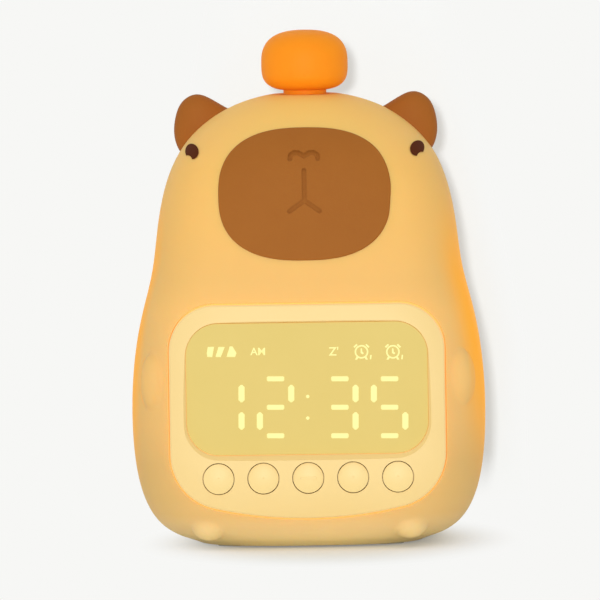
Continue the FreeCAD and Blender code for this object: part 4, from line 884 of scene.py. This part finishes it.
@dataclass(frozen=True)
class Paper:
    """Matt paper, see-through from behind, that shows its own shades near the clock only.

    Further off it evens out into the pale background. The paper is a little bluish, because the
    clock throws warm light on it.
    """

    name: str
    colour: str = "#f6fafc"
    fleck: str = "#f5f9fb"
    shown: str = "#f7f7f5"
    roughness: float = 0.9
    fleck_scale: float = 40.0
    # How even the sheet looks where its shades show most.
    least: float = 0.2
    shade_middle: tuple[float, float, float] = (5 * MM, -6 * MM, 0.0)
    squeeze: float = 1.7
    shade_reach: tuple[float, float] = (40 * MM, 90 * MM)

    def evenness(self, material: bpy.types.Material, place: bpy.types.NodeSocket) -> bpy.types.NodeSocket:
        """Says how even the sheet looks from place to place: the floor, an oval round the clock.

        Args:
            material: the material whose tree takes the nodes.
            place: the place's coordinates.

        Returns:
            A factor of one where no shade shows.
        """
        away = add_node(material, "ShaderNodeVectorMath", {0: place, 1: self.shade_middle},
                        operation="SUBTRACT")
        away = add_node(material, "ShaderNodeVectorMath", {0: away.outputs[0], 1: (self.squeeze, 1.0, 1.0)},
                        operation="MULTIPLY")
        away = add_node(material, "ShaderNodeVectorMath", {0: away.outputs[0]}, operation="LENGTH")
        near, far = self.shade_reach
        return add_node(material, "ShaderNodeMapRange",
                        {0: away.outputs["Value"], 1: near, 2: far, 3: self.least, 4: 1.0},
                        interpolation_type="SMOOTHSTEP").outputs[0]

    def build(self) -> bpy.types.Material:
        """Makes the material and returns it."""
        material, shader, place = new_material(self.name)
        shader.inputs["Roughness"].default_value = self.roughness
        shader.inputs["Specular IOR Level"].default_value = 0.0
        fleck = add_node(material, "ShaderNodeTexNoise",
                         {"Vector": place["Object"], "Scale": self.fleck_scale, "Detail": 2.0})
        tone = add_node(material, "ShaderNodeMix",
                        {0: fleck.outputs["Fac"], 6: linear(self.colour), 7: linear(self.fleck)},
                        data_type="RGBA")
        join_sockets(material, tone.outputs[2], shader, "Base Color")
        share = add_node(material, "ShaderNodeMath",
                         {0: self.evenness(material, place["Object"]), 1: lit_rays(material)},
                         operation="MULTIPLY")
        shine = add_node(material, "ShaderNodeEmission", {"Color": linear(self.shown), "Strength": 1.0})
        front = add_node(material, "ShaderNodeMixShader",
                         {0: share.outputs[0], 1: shader.outputs[0], 2: shine.outputs[0]})
        sides = add_node(material, "ShaderNodeNewGeometry").outputs["Backfacing"]
        clear = add_node(material, "ShaderNodeBsdfTransparent")
        mix = add_node(material, "ShaderNodeMixShader", {0: sides, 1: front.outputs[0], 2: clear.outputs[0]})
        join_sockets(material, mix.outputs[0], material.node_tree.nodes["Material Output"], "Surface")
        return material


@dataclass(frozen=True)
class WallPaper(Paper):
    """The upright sheet, whose shades show behind the clock and in a band along its right side."""

    least: float = 0.15
    # Heights between which the band leans in, and by how much.
    lean_heights: tuple[float, float] = (45 * MM, 145 * MM)
    lean: float = 20 * MM
    # Where the shades begin to fade and where they have gone, at the left, right and foot.
    left: tuple[float, float] = (-34 * MM, -48 * MM)
    right: tuple[float, float] = (49 * MM, 59 * MM)
    foot: tuple[float, float] = (20 * MM, 2 * MM)

    def evenness(self, material: bpy.types.Material, place: bpy.types.NodeSocket) -> bpy.types.NodeSocket:
        """Says how even the sheet looks from place to place, with the band leaning in as the clock narrows.

        Args:
            material: the material whose tree takes the nodes.
            place: the place's coordinates.

        Returns:
            A factor of one where no shade shows.
        """
        spot = add_node(material, "ShaderNodeSeparateXYZ", {0: place}).outputs
        low, high = self.lean_heights
        lean = add_node(material, "ShaderNodeMapRange",
                        {0: spot["Z"], 1: low, 2: high, 4: self.lean}).outputs[0]
        rightwards = add_node(material, "ShaderNodeMath", {0: spot["X"], 1: lean}, operation="ADD").outputs[0]
        leftwards = add_node(material, "ShaderNodeMath", {0: spot["X"], 1: lean},
                             operation="SUBTRACT").outputs[0]
        even = [add_node(material, "ShaderNodeMapRange", {0: value, 1: fades, 2: gone, 3: least, 4: 1.0},
                         interpolation_type="SMOOTHSTEP").outputs[0]
                for value, (fades, gone), least in ((leftwards, self.left, self.least),
                                                    (rightwards, self.right, self.least),
                                                    (spot["Z"], self.foot, 0.0))]
        band = add_node(material, "ShaderNodeMath", {0: even[0], 1: even[1]}, operation="MAXIMUM").outputs[0]
        return add_node(material, "ShaderNodeMath", {0: band, 1: even[2]}, operation="MAXIMUM").outputs[0]


@dataclass
class Studio:
    """Camera, lamp, soft sky, floor and wall, as the photograph has them."""

    azimuth: float = 1.0
    elevation: float = 3.5
    roll: float = -0.9
    distance: float = 3.0
    view_width: float = 0.1625
    target: Vector = field(default_factory=lambda: Vector((-2.2 * MM, 0.0, 65 * MM)))
    sensor: float = 36.0
    paper: str = "#f7f7f5"
    wall_back: float = 0.1
    sheet_side: float = 2.0
    lamp_left: float = 65 * MM
    lamp_above: float = 62 * MM
    lamp_size: float = 70 * MM
    lamp_power: float = 33.0
    sky_level: float = 0.70
    sky_lean: tuple[float, float, float] = (-0.08, 0.10, 0.08)

    def camera(self) -> bpy.types.Object:
        """Puts the camera at the photograph's angle and returns it."""
        data = bpy.data.cameras.new("photo_camera")
        data.sensor_width = self.sensor
        data.lens = self.sensor * self.distance / self.view_width
        camera = bpy.data.objects.new("photo_camera", data)
        bpy.context.scene.collection.objects.link(camera)
        turn, lift = math.radians(self.azimuth), math.radians(self.elevation)
        away = Vector((math.sin(turn) * math.cos(lift), -math.cos(turn) * math.cos(lift), math.sin(lift)))
        camera.matrix_world = (Matrix.Translation(self.target + away * self.distance)
                               @ (-away).to_track_quat("-Z", "Y").to_matrix().to_4x4()
                               @ Matrix.Rotation(math.radians(self.roll), 4, "Z"))
        bpy.context.scene.camera = camera
        return camera

    def lamp(self, camera: bpy.types.Object) -> None:
        """Puts a small soft lamp up and to the left of the camera, for a narrow shadow to the lower right."""
        data = bpy.data.lights.new("lamp_at_camera", "AREA")
        data.size = self.lamp_size
        data.energy = self.lamp_power
        lamp = bpy.data.objects.new("lamp_at_camera", data)
        bpy.context.scene.collection.objects.link(lamp)
        lamp.matrix_world = camera.matrix_world @ Matrix.Translation((-self.lamp_left, self.lamp_above, 0.0))

    def sky(self) -> None:
        """Lights the clock softly from all round, a little more from the upper left."""
        world = bpy.data.worlds.new("studio")
        bpy.context.scene.world = world
        world.use_nodes = True
        way = add_node(world, "ShaderNodeTexCoord").outputs["Generated"]
        lean = add_node(world, "ShaderNodeVectorMath", {0: way, 1: self.sky_lean}, operation="DOT_PRODUCT")
        level = add_node(world, "ShaderNodeMath", {0: lean.outputs["Value"], 1: self.sky_level},
                         operation="ADD")
        light = add_node(world, "ShaderNodeBackground",
                         {"Color": linear("#ffffff"), "Strength": level.outputs[0]})
        shown = add_node(world, "ShaderNodeBackground", {"Color": linear(self.paper), "Strength": 1.0})
        mix = add_node(world, "ShaderNodeMixShader",
                       {0: lit_rays(world), 1: light.outputs[0], 2: shown.outputs[0]})
        join_sockets(world, mix.outputs[0], world.node_tree.nodes["World Output"], "Surface")

    def sheet(self, paper: Paper, place: tuple[float, float, float], turn: float) -> bpy.types.Object:
        """Lays or stands one sheet of paper.

        Args:
            paper: what it is made of.
            place: its middle.
            turn: radians that it is tipped up about the X axis.

        Returns:
            The sheet.
        """
        deselect()
        bpy.ops.mesh.primitive_plane_add(size=self.sheet_side, location=place, rotation=(turn, 0.0, 0.0))
        sheet = bpy.context.object
        sheet.name = paper.name
        settle(sheet)
        sheet.data.materials.append(paper.build())
        return sheet

    def build(self) -> None:
        """Sets the camera, the lamp, the sky and the paper."""
        bpy.context.scene.view_settings.view_transform = "Standard"
        self.lamp(self.camera())
        self.sky()
        half = self.sheet_side / 2
        self.sheet(Paper("paper_floor"), (0.0, self.wall_back - half, 0.0), 0.0)
        wall = self.sheet(WallPaper("paper_wall"), (0.0, self.wall_back, half), math.pi / 2)
        # The sky lights the clock from behind as well, so diffuse rays don't see the wall.
        wall.visible_diffuse = False


def main() -> None:
    """Builds and dresses the clock, piece by piece, then sets the studio."""
    logging.basicConfig(level=logging.INFO, format="%(message)s")
    Animal().dress()
    SnoozeButton().dress()
    panel = FrontPanel()
    panel.build()
    panel.dress()
    display = Display()
    display.build()
    display.dress()
    Inside().dress()
    Base().dress()
    Studio().build()


if __name__ == "__main__":
    main()
